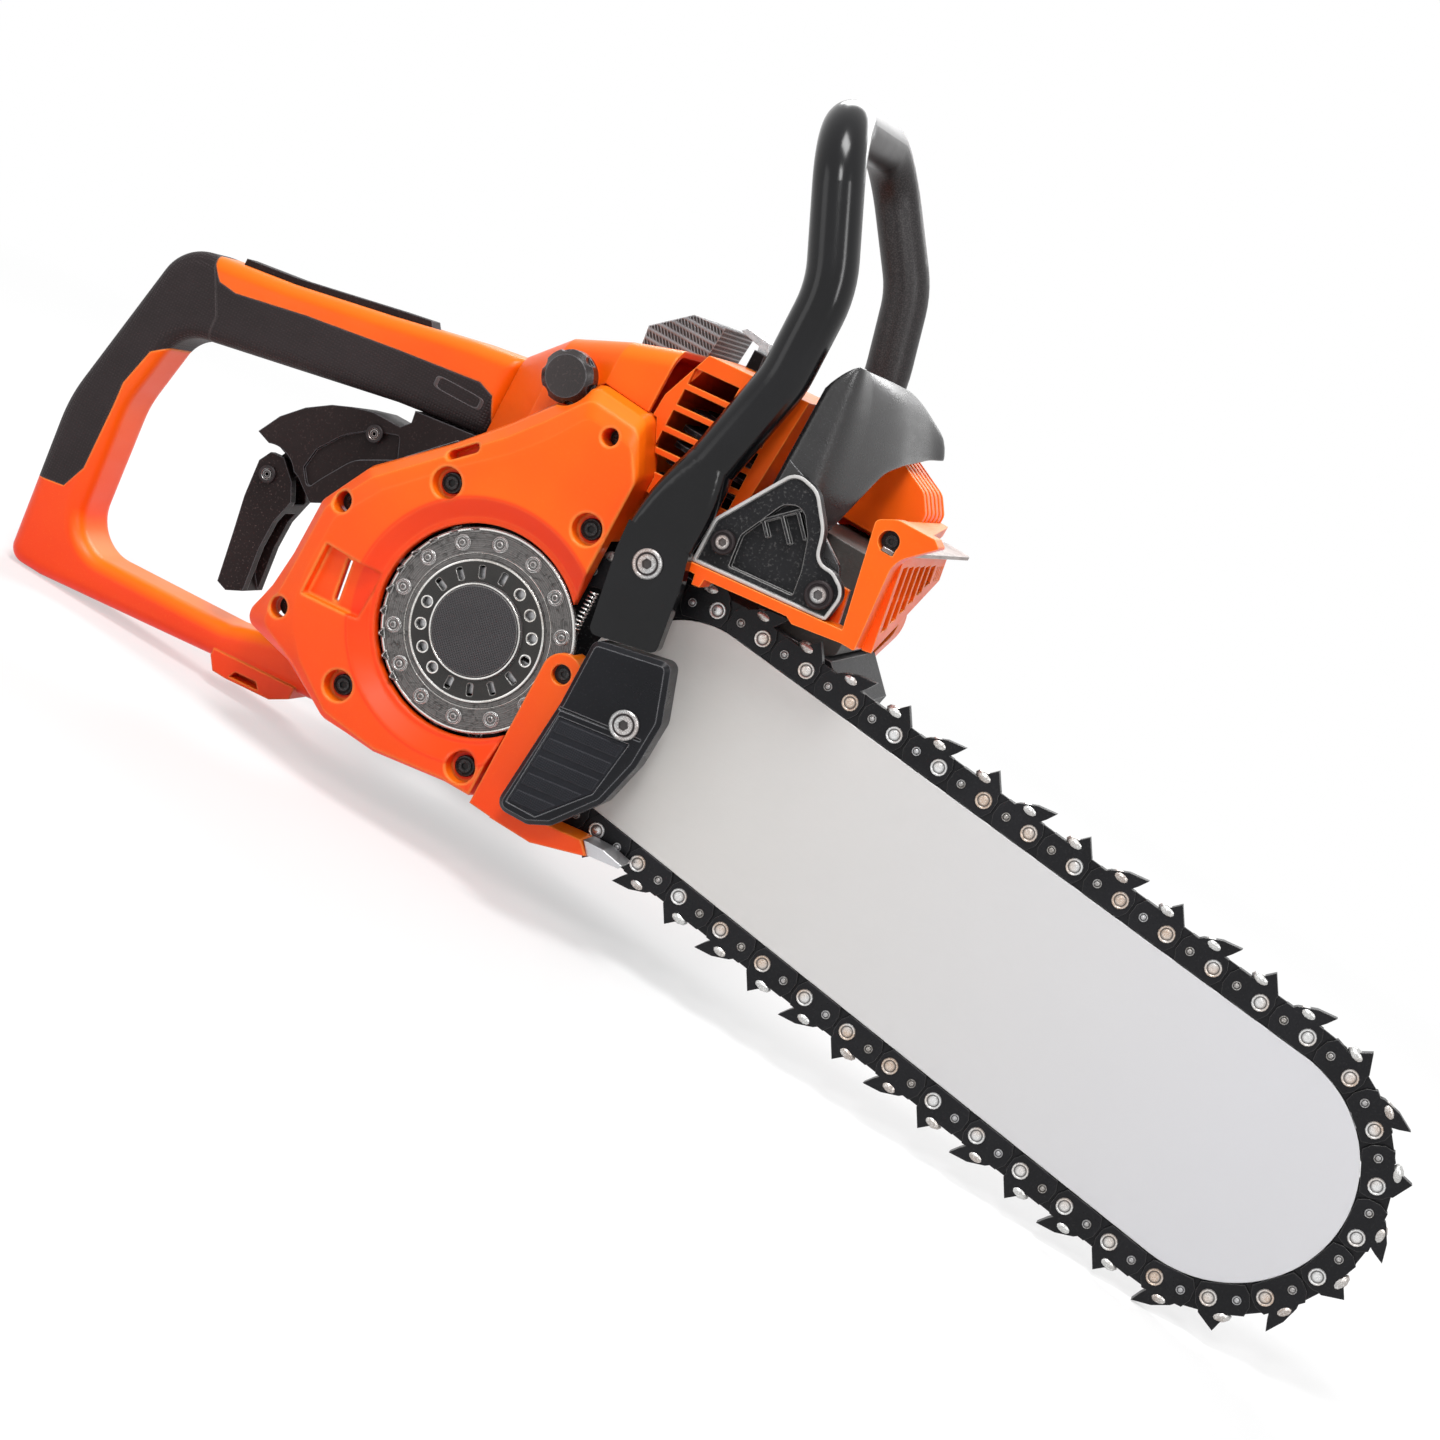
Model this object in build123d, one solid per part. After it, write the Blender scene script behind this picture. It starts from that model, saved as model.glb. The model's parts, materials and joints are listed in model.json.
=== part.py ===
from build123d import *
import os
from math import acos, atan2, cos, degrees, hypot, pi, radians, sin

# Petrol chainsaw standing as it is put down: rear handle, foot of the front handle and the
# chain's lowest teeth touch z = 0. +X runs to the bar's nose, +Y to the starter side.
# Lengths are in millimetres, angles in degrees.

# Drive axis and the chain's rivet line
axis_x, axis_z = -113.5, 115.0
sprocket_line_r = 45.0
tail_x, tail_z, tail_line_r = -4.4, 129.6, 55.0
nose_x, nose_z, nose_line_r = 327.0, 84.31, 68.5
bar_y = -62.0

# Chain
link_count = 47
plate_height = 15.0
plate_thick = 1.6
drive_thick = 1.5
tooth_reach = 8.3
rivet_r, small_rivet_r = 4.3, 2.6
rivet_proud = 1.0
tang_depth = 2.5

# Guide bar
bar_thick = 4.0
rail_gap = 0.3
tail_low_x, tail_top_x, tail_r = -34.0, -40.0, 20.0
stud_x, stud_rows, stud_r = -28.0, (109.0, 129.0), 3.8

# Clutch side
cover_face_y, cover_back_y, cover_wall = -85.0, -54.3, 12.0
opening_r, funnel_r, funnel_depth = 53.5, 65.5, 6.0
drum_r, drum_wall, drum_face_y, drum_back_y = 35.5, 3.0, -77.0, -66.5
cap_r, cap_proud = 24.5, 3.0
flange_r, flange_thick = 51.5, 3.0
sprocket_r = 34.0
shaft_r = 8.0
drum_openings = 16
running_gap = 0.05
part_gap = 0.3

# Body widths
case_right_y, case_left_y, case_wall = -54.0, 54.0, 4.0
starter_left_y = 76.0
top_right_y, top_left_y = -64.0, 52.0

# Rear handle
handle_half_width = 19.0
handle_round = 9.0

# Front handle
tube_r = 12.5
near_leg_y, far_leg_y = -79.0, 90.0
plate_mid_y, plate_deep = -92.4, 8.0
plate_back_y = plate_mid_y + plate_deep / 2
handle_screw_x, handle_screw_z, screw_shank_r = -47.5, 191.0, 4.0
handle_top_z, handle_low_z = 416.0, 215.0
mount_x, mount_y, mount_z = -178.0, 64.0, 64.0

# Hand guard and brake
pivot_x, pivot_z = 30.4, 218.4
guard_lean = 24.0
guard_thick = 5.0

# Trigger
trigger_x, trigger_z = -276.6, 115.0
trigger_half_width = 12.0
bracket_half = 16.0
trigger_pin_r = 3.0


def slab(outline, near_y, far_y):
    """The outline, drawn in X and Z, made solid between two values of y."""
    return extrude(Plane.XZ.offset(-far_y) * outline, far_y - near_y)


def shape(*points):
    return make_face(Polyline(*points, close=True))


def disc(x, z, r, near_y, far_y):
    return slab(Pos(x, z) * Circle(r), near_y, far_y)


def tangents(circles):
    """Runs of the belt round circles (x, z, r), listed anticlockwise: start, end, direction."""
    runs = []
    for (x0, z0, r0), (x1, z1, r1) in zip(circles, circles[1:] + circles[:1]):
        normal = atan2(z1 - z0, x1 - x0) - acos((r0 - r1) / hypot(x1 - x0, z1 - z0))
        start = (x0 + r0 * cos(normal), z0 + r0 * sin(normal))
        end = (x1 + r1 * cos(normal), z1 + r1 * sin(normal))
        runs.append((start, end, normal))
    return runs


def belt_outline(circles):
    """Face inside a belt pulled tight round the circles."""
    runs = tangents(circles)
    edges = [Line(start, end) for start, end, _ in runs]
    for k, (x, z, r) in enumerate(circles):
        came, left = runs[k - 1][2], runs[k][2]
        turn = (left - came) % (2 * pi)
        middle = came + turn / 2
        edges.append(ThreePointArc(runs[k - 1][1], (x + r * cos(middle), z + r * sin(middle)), runs[k][0]))
    return make_face(edges)


def belt_points(circles, count):
    """Evenly spaced points along the belt, as many as count."""
    runs = tangents(circles)
    pieces = []
    for k, (start, end, normal) in enumerate(runs):
        pieces.append((hypot(end[0] - start[0], end[1] - start[1]), start, end, None))
        circle = circles[(k + 1) % len(circles)]
        turn = (runs[(k + 1) % len(runs)][2] - normal) % (2 * pi)
        pieces.append((turn * circle[2], circle, normal, turn))
    total = sum(piece[0] for piece in pieces)
    points = []
    for k in range(count):
        along = total * k / count
        for length, first, second, turn in pieces:
            if along <= length:
                break
            along -= length
        share = along / length
        if turn is None:
            points.append(tuple(a + share * (b - a) for a, b in zip(first, second)))
        else:
            angle = second + share * turn
            points.append((first[0] + first[2] * cos(angle), first[1] + first[2] * sin(angle)))
    return points


def chain_circles(inset=0.0):
    return [
        (axis_x, axis_z, sprocket_line_r - inset),
        (nose_x, nose_z, nose_line_r - inset),
        (tail_x, tail_z, tail_line_r - inset),
    ]


def along_chain(solid, start, end):
    """Sets a link drawn along +X, with +Z outward, between two rivets."""
    turn = degrees(atan2(end[1] - start[1], end[0] - start[0]))
    return Pos(start[0], bar_y, start[1]) * Rot(0, -turn, 0) * Rot(180, 0, 0) * solid


def turned(x, z, *profile):
    """Solid of revolution about the Y line through (x, z); the profile lists (radius, y)."""
    return Pos(x, 0, z) * revolve(make_face(Polyline(*profile, close=True)), Axis.Y)


def ring(x, z, outer, inner, near_y, far_y):
    return slab(Pos(x, z) * (Circle(outer) - Circle(inner)), near_y, far_y)


def section(x, near_y, far_y, low_z, top_z, corner):
    """Rounded rectangle across the body at one x, for lofting along it."""
    middle = Pos((near_y + far_y) / 2, (low_z + top_z) / 2)
    return Plane.YZ.offset(x) * middle * RectangleRounded(far_y - near_y, top_z - low_z, corner)


# ---------------------------------------------------------------- chain and guide bar
rivet_points = belt_points(chain_circles(), 2 * link_count)
half_pitch = hypot(rivet_points[1][0] - rivet_points[0][0], rivet_points[1][1] - rivet_points[0][1])
link_sag = half_pitch ** 2 / (8 * nose_line_r)
bar_inset = plate_height / 2 + rail_gap + link_sag
end_reach = half_pitch / 2 - 0.7
drive_y = drive_thick / 2
plate_y = drive_y + plate_thick
tooth_foot = plate_height / 2 + 0.9
tooth_tip = plate_height / 2 + tooth_reach


def plate_outline(tang=0.0):
    half = plate_height / 2
    low = [(half_pitch + 3.5, -half), (half_pitch / 2, -half - tang), (-3.5, -half)]
    if tang == 0:
        del low[1]
    return shape(
        (-3.5, half),
        (-end_reach, 3),
        (-end_reach, -3),
        *reversed(low),
        (half_pitch + end_reach, -3),
        (half_pitch + end_reach, 3),
        (half_pitch + 3.5, half),
    )


def spike_outline():
    return shape((-4.6, 3), (-4.6, plate_height / 2), (2.1, tooth_tip), (9, plate_height / 2), (9, 3))


def hook_outline():
    top = plate_height / 2
    return shape(
        (-1, 3),
        (-1, top),
        (-3, top + 3),
        (-5.5, tooth_tip - 0.5),
        (4, tooth_tip - 2.5),
        (12, top + 1.6),
        (13.5, top),
        (13.5, 3),
    )


def toothed_link(tooth):
    """Two side plates joined over the drive link by the tooth."""
    pair = slab(plate_outline() + tooth, -plate_y, plate_y)
    cut_low = shape((-30, -30), (30 + half_pitch, -30), (30 + half_pitch, tooth_foot), (-30, tooth_foot))
    return pair - slab(cut_low, -drive_y, drive_y)


def at_links(solid, first, step):
    """Copies of a link from every second rivet on, starting at the one numbered first."""
    copies = []
    for k in range(first, 2 * link_count, step):
        copies.append(along_chain(solid, rivet_points[k], rivet_points[(k + 1) % (2 * link_count)]))
    return Compound(children=copies)


def rivets(r, first, sides):
    pin = slab(RegularPolygon(r, sides), -plate_y - rivet_proud, plate_y + rivet_proud)
    return [Pos(x, bar_y, z) * pin for x, z in rivet_points[first::2]]


def guide_bar():
    def outline(inset):
        low = chain_circles(bar_inset + inset)
        rail = tangents(low)[0]
        run = (rail[1][1] - rail[0][1]) / (rail[1][0] - rail[0][0])
        low_z = rail[0][1] + run * (tail_low_x - rail[0][0])
        reach = tail_r - inset
        return belt_outline([
            (tail_low_x - reach * sin(-run), low_z + reach / cos(atan2(run, 1)), reach),
            low[1],
            low[2],
            (tail_top_x, tail_z + 6, reach),
        ])

    half = bar_thick / 2
    groove = drive_y + 0.3
    bar = slab(outline(0), bar_y - half, bar_y + half)
    bar -= slab(outline(0) - outline(tang_depth + 1.5), bar_y - groove, bar_y + groove)
    for z in stud_rows:
        slot = Pos(stud_x - 6, z) * SlotCenterToCenter(12, 2 * stud_r + part_gap)
        bar -= slab(slot, bar_y - half, bar_y + half)
    return bar


# ---------------------------------------------------------------- clutch side
cover_screws = [(-159.6, 173.0), (-85.5, 188.5), (-161.6, 56.0), (-85.5, 53.5)]
screw_head_r, screw_head_depth, screw_r = 5.5, 3.0, 2.4
pocket_r, pocket_floor_y = 8.0, -75.5


cover_foot = [
    (-75, 42), (-75, 224), (-88, 250), (-118, 252), (-138, 228), (-150, 213), (-172, 189), (-205, 158),
    (-219, 132), (-220, 100), (-223, 80), (-231, 56), (-196, 50), (-164, 34), (-130, 34), (-90, 41),
]
cover_face = [
    (-75, 44), (-75, 219), (-85, 234), (-111, 236), (-124, 217), (-138, 201), (-158, 183), (-188, 153),
    (-203.5, 129), (-204.5, 100), (-203, 84), (-197, 70), (-186, 57), (-162, 41), (-130, 38), (-90, 44),
]
shoulder_deep, shoulder_steps = 19.0, 3
cover_holes = [(-97.0, 233.0, 4.5), (-204.4, 137.4, 5.5), (-209.3, 74.0, 5.5)]
hole_floor_y = -68.0


def cover_outline(grow=0.0):
    outline = shape(*cover_foot)
    return offset(outline, grow, kind=Kind.INTERSECTION) if grow else outline


def cover_section(share):
    """Outline at one depth of the shoulder, which rounds over from the face to the foot."""
    out, deep = sin(share * pi / 2), 1 - cos(share * pi / 2)
    points = [(a + out * (c - a), b + out * (d - b)) for (a, b), (c, d) in zip(cover_face, cover_foot)]
    rounding = [1] + 14 * [7] + [2]
    return Plane.XZ.offset(-cover_face_y - deep * shoulder_deep) * make_face(
        FilletPolyline(*points, radius=rounding, close=True))


def clutch_cover():
    shoulder_y = cover_face_y + shoulder_deep
    steps = [cover_section(k / shoulder_steps) for k in range(shoulder_steps + 1)]
    cover = loft(steps, ruled=True) + extrude(steps[-1], cover_back_y - shoulder_y, dir=(0, 1, 0))
    cover -= slab(belt_outline(chain_circles(-tooth_tip - 1.5)), cover_face_y + cover_wall, cover_back_y)
    cover -= turned(
        axis_x, axis_z,
        (0, cover_face_y - 1), (funnel_r + 1, cover_face_y - 1), (funnel_r, cover_face_y),
        (opening_r + 3, cover_face_y + funnel_depth), (opening_r, cover_face_y + funnel_depth),
        (opening_r, cover_back_y), (0, cover_back_y),
    )
    window = shape((-201, 115.5), (-201, 87), (-170, 90), (-170, 115.5))
    cover -= slab(window, cover_face_y - 1, cover_face_y + 7)
    cover -= slab(shape((-190, 113), (-187, 91), (-184, 91), (-187, 113)), cover_face_y, cover_back_y)
    cavity = shape((-212, 126), (-213, 100), (-216, 80), (-219, 64), (-184, 60), (-184, 146), (-200, 146))
    cover -= slab(cavity, cover_face_y + cover_wall, cover_back_y)
    cover -= disc(knob_x, knob_z, knob_r + 1, cover_face_y, cover_back_y)
    for x, z in cover_screws:
        cover -= disc(x, z, pocket_r, cover_face_y - 1, pocket_floor_y)
        cover -= disc(x, z, screw_r, pocket_floor_y, cover_back_y)
    for x, z, r in cover_holes:
        cover -= disc(x, z, r, cover_face_y - 1, hole_floor_y)
    slit = Pos(-160.5, 190) * Rot(0, 0, 44) * SlotOverall(18, 5)
    return cover - slab(slit, cover_face_y - 1, hole_floor_y)


def cover_screw(x, z):
    head = disc(x, z, screw_head_r, pocket_floor_y - screw_head_depth, pocket_floor_y)
    head -= slab(Pos(x, z) * RegularPolygon(2.4, 6), pocket_floor_y - screw_head_depth, pocket_floor_y - 1)
    return head + disc(x, z, screw_r - running_gap, pocket_floor_y, pocket_floor_y + 2.4)


arm_near_y, arm_far_y = -86.0, -67.6
arm_x, arm_half = -62.0, 10.5
arm_hole_z, arm_low_z = 120.6, 41.0


def cover_arm():
    """Lower rib of the clutch side, with a hollow round eye and the strip along the base."""
    rib = disc(arm_x, arm_hole_z, arm_half, arm_near_y, arm_far_y)
    rib += slab(shape(
        (arm_x - arm_half, arm_low_z), (arm_x + arm_half, arm_low_z - 1),
        (arm_x + arm_half, arm_hole_z), (arm_x - arm_half, arm_hole_z),
    ), arm_near_y, arm_far_y)
    rib += slab(shape((-60, 40), (-36, 40), (-8, 49), (-14, 55), (-36, 52), (-52, 54)), arm_near_y, arm_far_y)
    rib += slab(shape((arm_x - arm_half, 38), (arm_x + arm_half, 38), (arm_x + arm_half, 44.4),
                      (arm_x - arm_half, 44.4)), arm_far_y, case_right_y + 14)
    rib += slab(shape((arm_x - arm_half, 38), (arm_x + arm_half, 38), (arm_x + arm_half, 47.6),
                      (arm_x - arm_half, 48.4)), case_right_y, case_right_y + 14)
    rib -= disc(axis_x, axis_z, opening_r, flange_face_y - prong_high - part_gap, arm_far_y)
    return rib - disc(arm_x, arm_hole_z, 5, arm_near_y, arm_near_y + 6)


def chain_catcher():
    return slab(shape((-8.3, 49.3), (9, 52), (10, 54), (-2, 56), (-13, 55.2)), arm_near_y + 2, arm_far_y)


def clutch_drum():
    """Cup of the centrifugal clutch, its face pierced by holes and two groups of cooling slots."""
    drum = turned(
        axis_x, axis_z,
        (cap_r, drum_face_y), (drum_r, drum_face_y), (drum_r, drum_back_y),
        (shaft_r + running_gap, drum_back_y), (shaft_r + running_gap, drum_back_y - drum_wall),
        (drum_r - drum_wall, drum_back_y - drum_wall),
        (drum_r - drum_wall, drum_face_y + drum_wall), (cap_r, drum_face_y + drum_wall),
    )
    turn = 360 / drum_openings
    for k in range(drum_openings):
        cut = Circle(2.3) if k % 8 < 4 else RectangleRounded(6.5, 3.2, 1)
        cut = Pos(axis_x, axis_z) * Rot(0, 0, k * turn) * Pos((cap_r + drum_r - 1) / 2, 0) * cut
        drum -= slab(cut, drum_face_y - 1, drum_face_y + drum_wall)
    return drum


def drive_sprocket():
    """Rim sprocket behind the drum, its windows spaced as the chain's drive links are."""
    sprocket = ring(axis_x, axis_z, sprocket_r, shaft_r + running_gap, drum_back_y, cover_back_y - 0.2)
    windows = round(2 * pi * sprocket_line_r / (2 * half_pitch))
    for spot in PolarLocations(sprocket_r, windows):
        cut = Pos(axis_x + spot.position.X, axis_z + spot.position.Y) * Circle(3)
        sprocket -= slab(cut, bar_y - 2, bar_y + 2)
    return sprocket


flange_face_y = drum_face_y + 1.5
stud_head_r, stud_proud, flange_studs = 3.8, 1.4, 14
prong_count, prong_high = 10, 5.0


def sprocket_flange():
    """Ring round the drum with its ringed stud heads and the crown of prongs on its rim."""
    flange = ring(axis_x, axis_z, flange_r, drum_r, flange_face_y, flange_face_y + flange_thick)
    for spot in PolarLocations((flange_r + drum_r) / 2 + 1, flange_studs):
        x, z = axis_x + spot.position.X, axis_z + spot.position.Y
        flange += disc(x, z, stud_head_r, flange_face_y - stud_proud, flange_face_y)
        flange -= ring(x, z, stud_head_r - 1, 1.4, flange_face_y - stud_proud, flange_face_y - stud_proud / 2)
    prong = loft([Rectangle(1.4, 5), Pos(0, 0, prong_high) * Rectangle(0.6, 0.8)], ruled=True)
    for k in range(prong_count):
        angle = 120 + 13 * k
        turned_prong = Rot(0, -angle, 0) * Pos(flange_r - 1.2, flange_face_y, 0) * Rot(90, 0, 0) * prong
        flange += Pos(axis_x, 0, axis_z) * turned_prong
    return flange


def clutch_cap():
    return turned(
        axis_x, axis_z,
        (0, drum_face_y - cap_proud), (cap_r - 2, drum_face_y - cap_proud),
        (cap_r, drum_face_y - cap_proud + 2),
        (cap_r, drum_face_y + drum_wall), (0, drum_face_y + drum_wall),
    )


def clutch_shoes():
    """Three centrifugal shoes on a hub that is keyed to the crankshaft."""
    near_y = drum_face_y + drum_wall + 0.6
    far_y = drum_back_y - drum_wall - 0.4
    shoes = ring(axis_x, axis_z, drum_r - drum_wall - 0.8, shaft_r, near_y, far_y)
    for k in range(3):
        gap = Rot(0, 0, 120 * k) * Pos(22, 0) * Rectangle(24, 2)
        shoes -= slab(Pos(axis_x, axis_z) * gap, near_y, far_y)
    return shoes


# ---------------------------------------------------------------- engine
tower_x, tower_z, tower_r = -50.0, 203.5, 7.0
frame_near_y, frame_far_y = -88.0, -70.0
fuel_cap_at, oil_cap_at, cap_neck_r = (-181.0, 146.0), (38.0, 112.0), 8.0
flywheel_r, flywheel_near_y, flywheel_far_y = 48.0, 57.0, 67.0
boss_r = 18.0
pulley_r, pulley_near_y, pulley_far_y = 26.0, 67.6, 71.6
cylinder_x, cylinder_y, cylinder_height, fin_count = -57.0, -6.0, 72.0, 7
case_top_z = 189.0
piston_r = 19.0
plug_high = 20.0
cover_top_z = case_top_z + part_gap + cylinder_height + plug_high + 7.7


def crankcase():
    """Hollow casting with the shaft's boss, the bar's pad and the tower for the front frame."""
    outline = shape(
        (-180, 53), (-30, 47), (40, 62), (63, 172), (46, case_top_z), (handle_end_x, case_top_z),
        (-197, 168), (-197.5, 150), (-190, 130), (-180, 120),
    )
    inner_right, inner_left = case_right_y + case_wall, case_left_y - case_wall
    case = slab(outline, case_right_y, case_left_y)
    case -= slab(offset(outline, -case_wall, kind=Kind.INTERSECTION), inner_right, inner_left)
    case -= disc(axis_x, axis_z, flywheel_r + 8, inner_left - 1, case_left_y)
    case += disc(axis_x, axis_z, boss_r, case_right_y, case_left_y)
    case += slab(shape((stud_x - 16, 88), (stud_x + 24, 88), (stud_x + 24, 150), (stud_x - 16, 150)),
                 bar_y + bar_thick / 2, case_right_y)
    tower = shape((-68, 170), (tower_x - 13, tower_z + 7), (tower_x + 9, tower_z + 7), (-38, 170))
    case += slab(tower, case_right_y - 2.5, inner_right)
    case += disc(tower_x, tower_z, tower_r, frame_far_y, case_right_y)
    case -= disc(axis_x, axis_z, shaft_r + running_gap, case_right_y, case_left_y)
    for x, z in (fuel_cap_at, oil_cap_at):
        case -= disc(x, z, cap_neck_r + running_gap, inner_left - 1, case_left_y)
    return case + handle_mount()


def bar_studs():
    studs = []
    for z in stud_rows:
        studs.append(disc(stud_x, z, stud_r, bar_y - bar_thick / 2 - 8, bar_y + bar_thick / 2))
    return Compound(children=studs)


def bar_nuts():
    nuts = []
    for z in stud_rows:
        hexagon = RegularPolygon(7.5, 6) - Circle(stud_r + running_gap)
        nut = slab(Pos(stud_x, z) * hexagon, bar_y - bar_thick / 2 - 6.5, bar_y - bar_thick / 2)
        nuts.append(nut)
    return Compound(children=nuts)


def crankshaft():
    near_y = drum_face_y + drum_wall + 0.6
    return disc(axis_x, axis_z, shaft_r, near_y, flywheel_far_y)


def flywheel():
    """Disc with curved cooling vanes on its outer face."""
    wheel = ring(axis_x, axis_z, flywheel_r, shaft_r, flywheel_near_y, flywheel_near_y + 4)
    wheel += ring(axis_x, axis_z, 16, shaft_r, flywheel_near_y, flywheel_far_y)
    for k in range(12):
        vane = Rot(0, 0, 30 * k) * Pos(32, 0) * Rot(0, 0, 25) * Rectangle(24, 2.4)
        wheel += slab(Pos(axis_x, axis_z) * vane, flywheel_near_y + 4, flywheel_far_y)
    return wheel


def ignition_coil():
    """Coil block with its two-legged core, standing off the flywheel's rim."""
    x = axis_x + flywheel_r + 1
    core = slab(shape((x, 96), (x + 30, 96), (x + 30, 134), (x, 134), (x, 124), (x + 10, 124), (x + 10, 106),
                      (x, 106)), case_left_y, flywheel_near_y + 6)
    return core + slab(shape((x + 12, 100), (x + 34, 100), (x + 34, 130), (x + 12, 130)),
                       case_left_y, flywheel_near_y + 8)


def at_cylinder(solid):
    """Places a solid built round +Z from the top face of the crankcase."""
    return Pos(cylinder_x, cylinder_y, case_top_z + part_gap) * solid


def cylinder():
    """Finned barrel and head on the crankcase."""
    barrel = extrude(Circle(piston_r + 4), cylinder_height)
    pitch = (cylinder_height - 18) / (fin_count - 1)
    for k in range(fin_count):
        barrel += Pos(0, 0, 15 + pitch * k) * extrude(RectangleRounded(46, 74, 8), 2.6)
    barrel -= extrude(Circle(piston_r + running_gap), cylinder_height - 6)
    return at_cylinder(barrel)


def piston():
    crown = extrude(Circle(piston_r), 26) - extrude(Circle(piston_r - 3), 20)
    return at_cylinder(Pos(0, 0, cylinder_height - 36) * crown)


def spark_plug():
    plug = extrude(Circle(6), 7) + Pos(0, 0, 7) * extrude(RegularPolygon(8, 6), 6)
    plug += Pos(0, 0, 13) * extrude(Circle(6.5), 7)
    return at_cylinder(Pos(0, 0, cylinder_height) * plug)


def muffler():
    box = slab(RectangleRounded(46, 53, 5), -45, 45) - slab(RectangleRounded(42, 49, 3), -43, 43)
    box -= Pos(22, 10, 0) * Rot(0, 90, 0) * extrude(Circle(7), 8, both=True)
    return Pos(22, 0, 215.5) * box


# ---------------------------------------------------------------- moulded covers
top_wall = 3.5
knob_x, knob_z, knob_r = -133.7, 247.0, 13.5
handle_end_x = -176.0
vent_count = 5
vent_pitch = (cover_top_z - 231.5) / vent_count
vent_gap = 0.74 * vent_pitch
clip_x, clip_z, clip_pin_r = -73.0, cover_top_z + 7, 1.5


def top_sections(inset):
    low = 0 if inset == 0 else -4
    near, far = top_right_y + inset, top_left_y - inset
    return [
        section(handle_end_x, -21 + inset, 21 - inset, 189.3 + low, 240 - inset, 8 - inset),
        section(-150, -50 + inset, 44 - inset, 189.3 + low, 262 - inset, 12 - inset),
        section(-118, near, far, 189.3 + low, 276 - inset, 12 - inset),
        section(-92, near, far, 189.3 + low, 285 - inset, 12 - inset),
    ]


def top_housing():
    """Filter housing: lofted shell, open below, that fits round the clutch cover."""
    housing = loft(top_sections(0), ruled=True)
    hollow = loft(top_sections(top_wall), ruled=True)
    housing -= hollow
    housing -= slab(cover_outline(part_gap), cover_face_y, case_right_y)
    housing += disc(knob_x, knob_z, knob_r - 3, top_right_y - 2, top_right_y + 12)
    housing -= disc(knob_x, knob_z, 4 + running_gap, top_right_y - 3, top_right_y + 20)
    for x, z in (switch_at, choke_at):
        housing -= disc(x, z, spindle_r + running_gap, top_left_y - 4, top_left_y + 1)
    return housing


def filter_knob():
    """Round knob with six grip scallops, turning on its own spindle."""
    near_y = top_right_y - 13
    knob = turned(
        knob_x, knob_z,
        (0, near_y), (knob_r - 3, near_y), (knob_r, near_y + 3), (knob_r, top_right_y - 2.3),
        (4, top_right_y - 2.3), (4, top_right_y + 10), (0, top_right_y + 10),
    )
    for spot in PolarLocations(knob_r + 2.5, 6):
        knob -= disc(knob_x + spot.position.X, knob_z + spot.position.Y, 4, near_y, top_right_y - 5)
    return knob


def cylinder_cover_outline():
    top = [(-79, cover_top_z), (-24, cover_top_z + 4)]
    return shape((-84, 216), (-91, 231), (-89.5, 262), *top, (-27, 242), (-30, 216))


def cylinder_cover():
    """Louvred engine cover, open below, its slots lying one above the other."""
    near_y, far_y = top_right_y + 3, top_left_y - 4
    outline = cylinder_cover_outline()
    cover = slab(outline, near_y, far_y)
    cover -= slab(offset(outline, -3, kind=Kind.INTERSECTION), near_y + 3, far_y - 3)
    cover -= Pos(-55, (near_y + far_y) / 2, 214) * Box(54, far_y - near_y - 6, 12)
    cover -= slab(cover_outline(part_gap), cover_face_y, case_right_y)
    for k in range(vent_count):
        z = 228 + vent_pitch * k
        for left, right in ((-82, -58), (-53, -34)):
            cover -= slab(shape((left, z - 2), (right, z), (right, z + vent_gap), (left, z + vent_gap - 2)),
                          near_y - 1, near_y + 4)
    return cover


def air_filter():
    """Wire mesh filter that stands out of the housing's sloping top."""
    outline = shape((-126, 272.7), (-118, 276.2), (-92.5, 285.1), (-91, 302.5), (-109, 300), (-127.5, 284))
    return slab(outline, -14, 46)


def filter_clip():
    """Spring latch over the filter's front edge, hinged on the engine cover."""
    hook = shape((-15, 8), (-12.5, 10.5), (1, 9), (5, 1), (2, -3.4), (-2, -3.4), (-3, 5.5), (-12, 7))
    return slab(Pos(clip_x, clip_z) * hook, 4, 28) - disc(clip_x, clip_z, clip_pin_r + running_gap, 3, 29)


def clip_pin():
    lug = slab(Pos(clip_x, clip_z) * shape((-3, -7.3), (4, -6), (3, 3), (-3, 3)), -0.5, 3.7)
    other = Pos(0, 28.8, 0) * lug
    cut = slab(offset(cylinder_cover_outline(), 0.1, kind=Kind.INTERSECTION), -5, 40)
    return (lug + other - cut) + disc(clip_x, clip_z, clip_pin_r, -0.5, 32.5)


# ---------------------------------------------------------------- rear handle
def handle_outline():
    points = [
        (-392, 0), (-370, 0), (-261, 13), (-163, 26), (-163, 46), (-205, 51), (-258, 33), (-361, 25),
        (-367, 108), (-357, 157), (handle_end_x - 54, 184), (handle_end_x, 192), (handle_end_x, 238),
        (handle_end_x - 29, 233), (handle_end_x - 78, 222), (-312, 210), (-378, 200), (-400, 95),
    ]
    radii = [10, 8, 20, 3, 3, 12, 14, 24, 60, 22, 30, 3, 3, 40, 60, 60, 26, 90]
    return make_face(FilletPolyline(*points, radius=radii, close=True))


def handle_body():
    body = slab(handle_outline(), -handle_half_width, handle_half_width)
    sides = body.edges().filter_by(lambda e: abs(abs(e.center().Y) - handle_half_width) < 0.01)
    long_sides = sides.filter_by(lambda e: abs(e.center().X - handle_end_x) > 1 and e.center().X < -166)
    return fillet(long_sides, handle_round)


def grip_region():
    return slab(shape(
        (-430, 42), (-377, 52), (-371, 66), (-372, 118), (-366, 140), (-349, 155.5), (-340, 159),
        (-340, 175), (-363, 215), (-430, 215),
    ), -40, 40)


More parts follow.
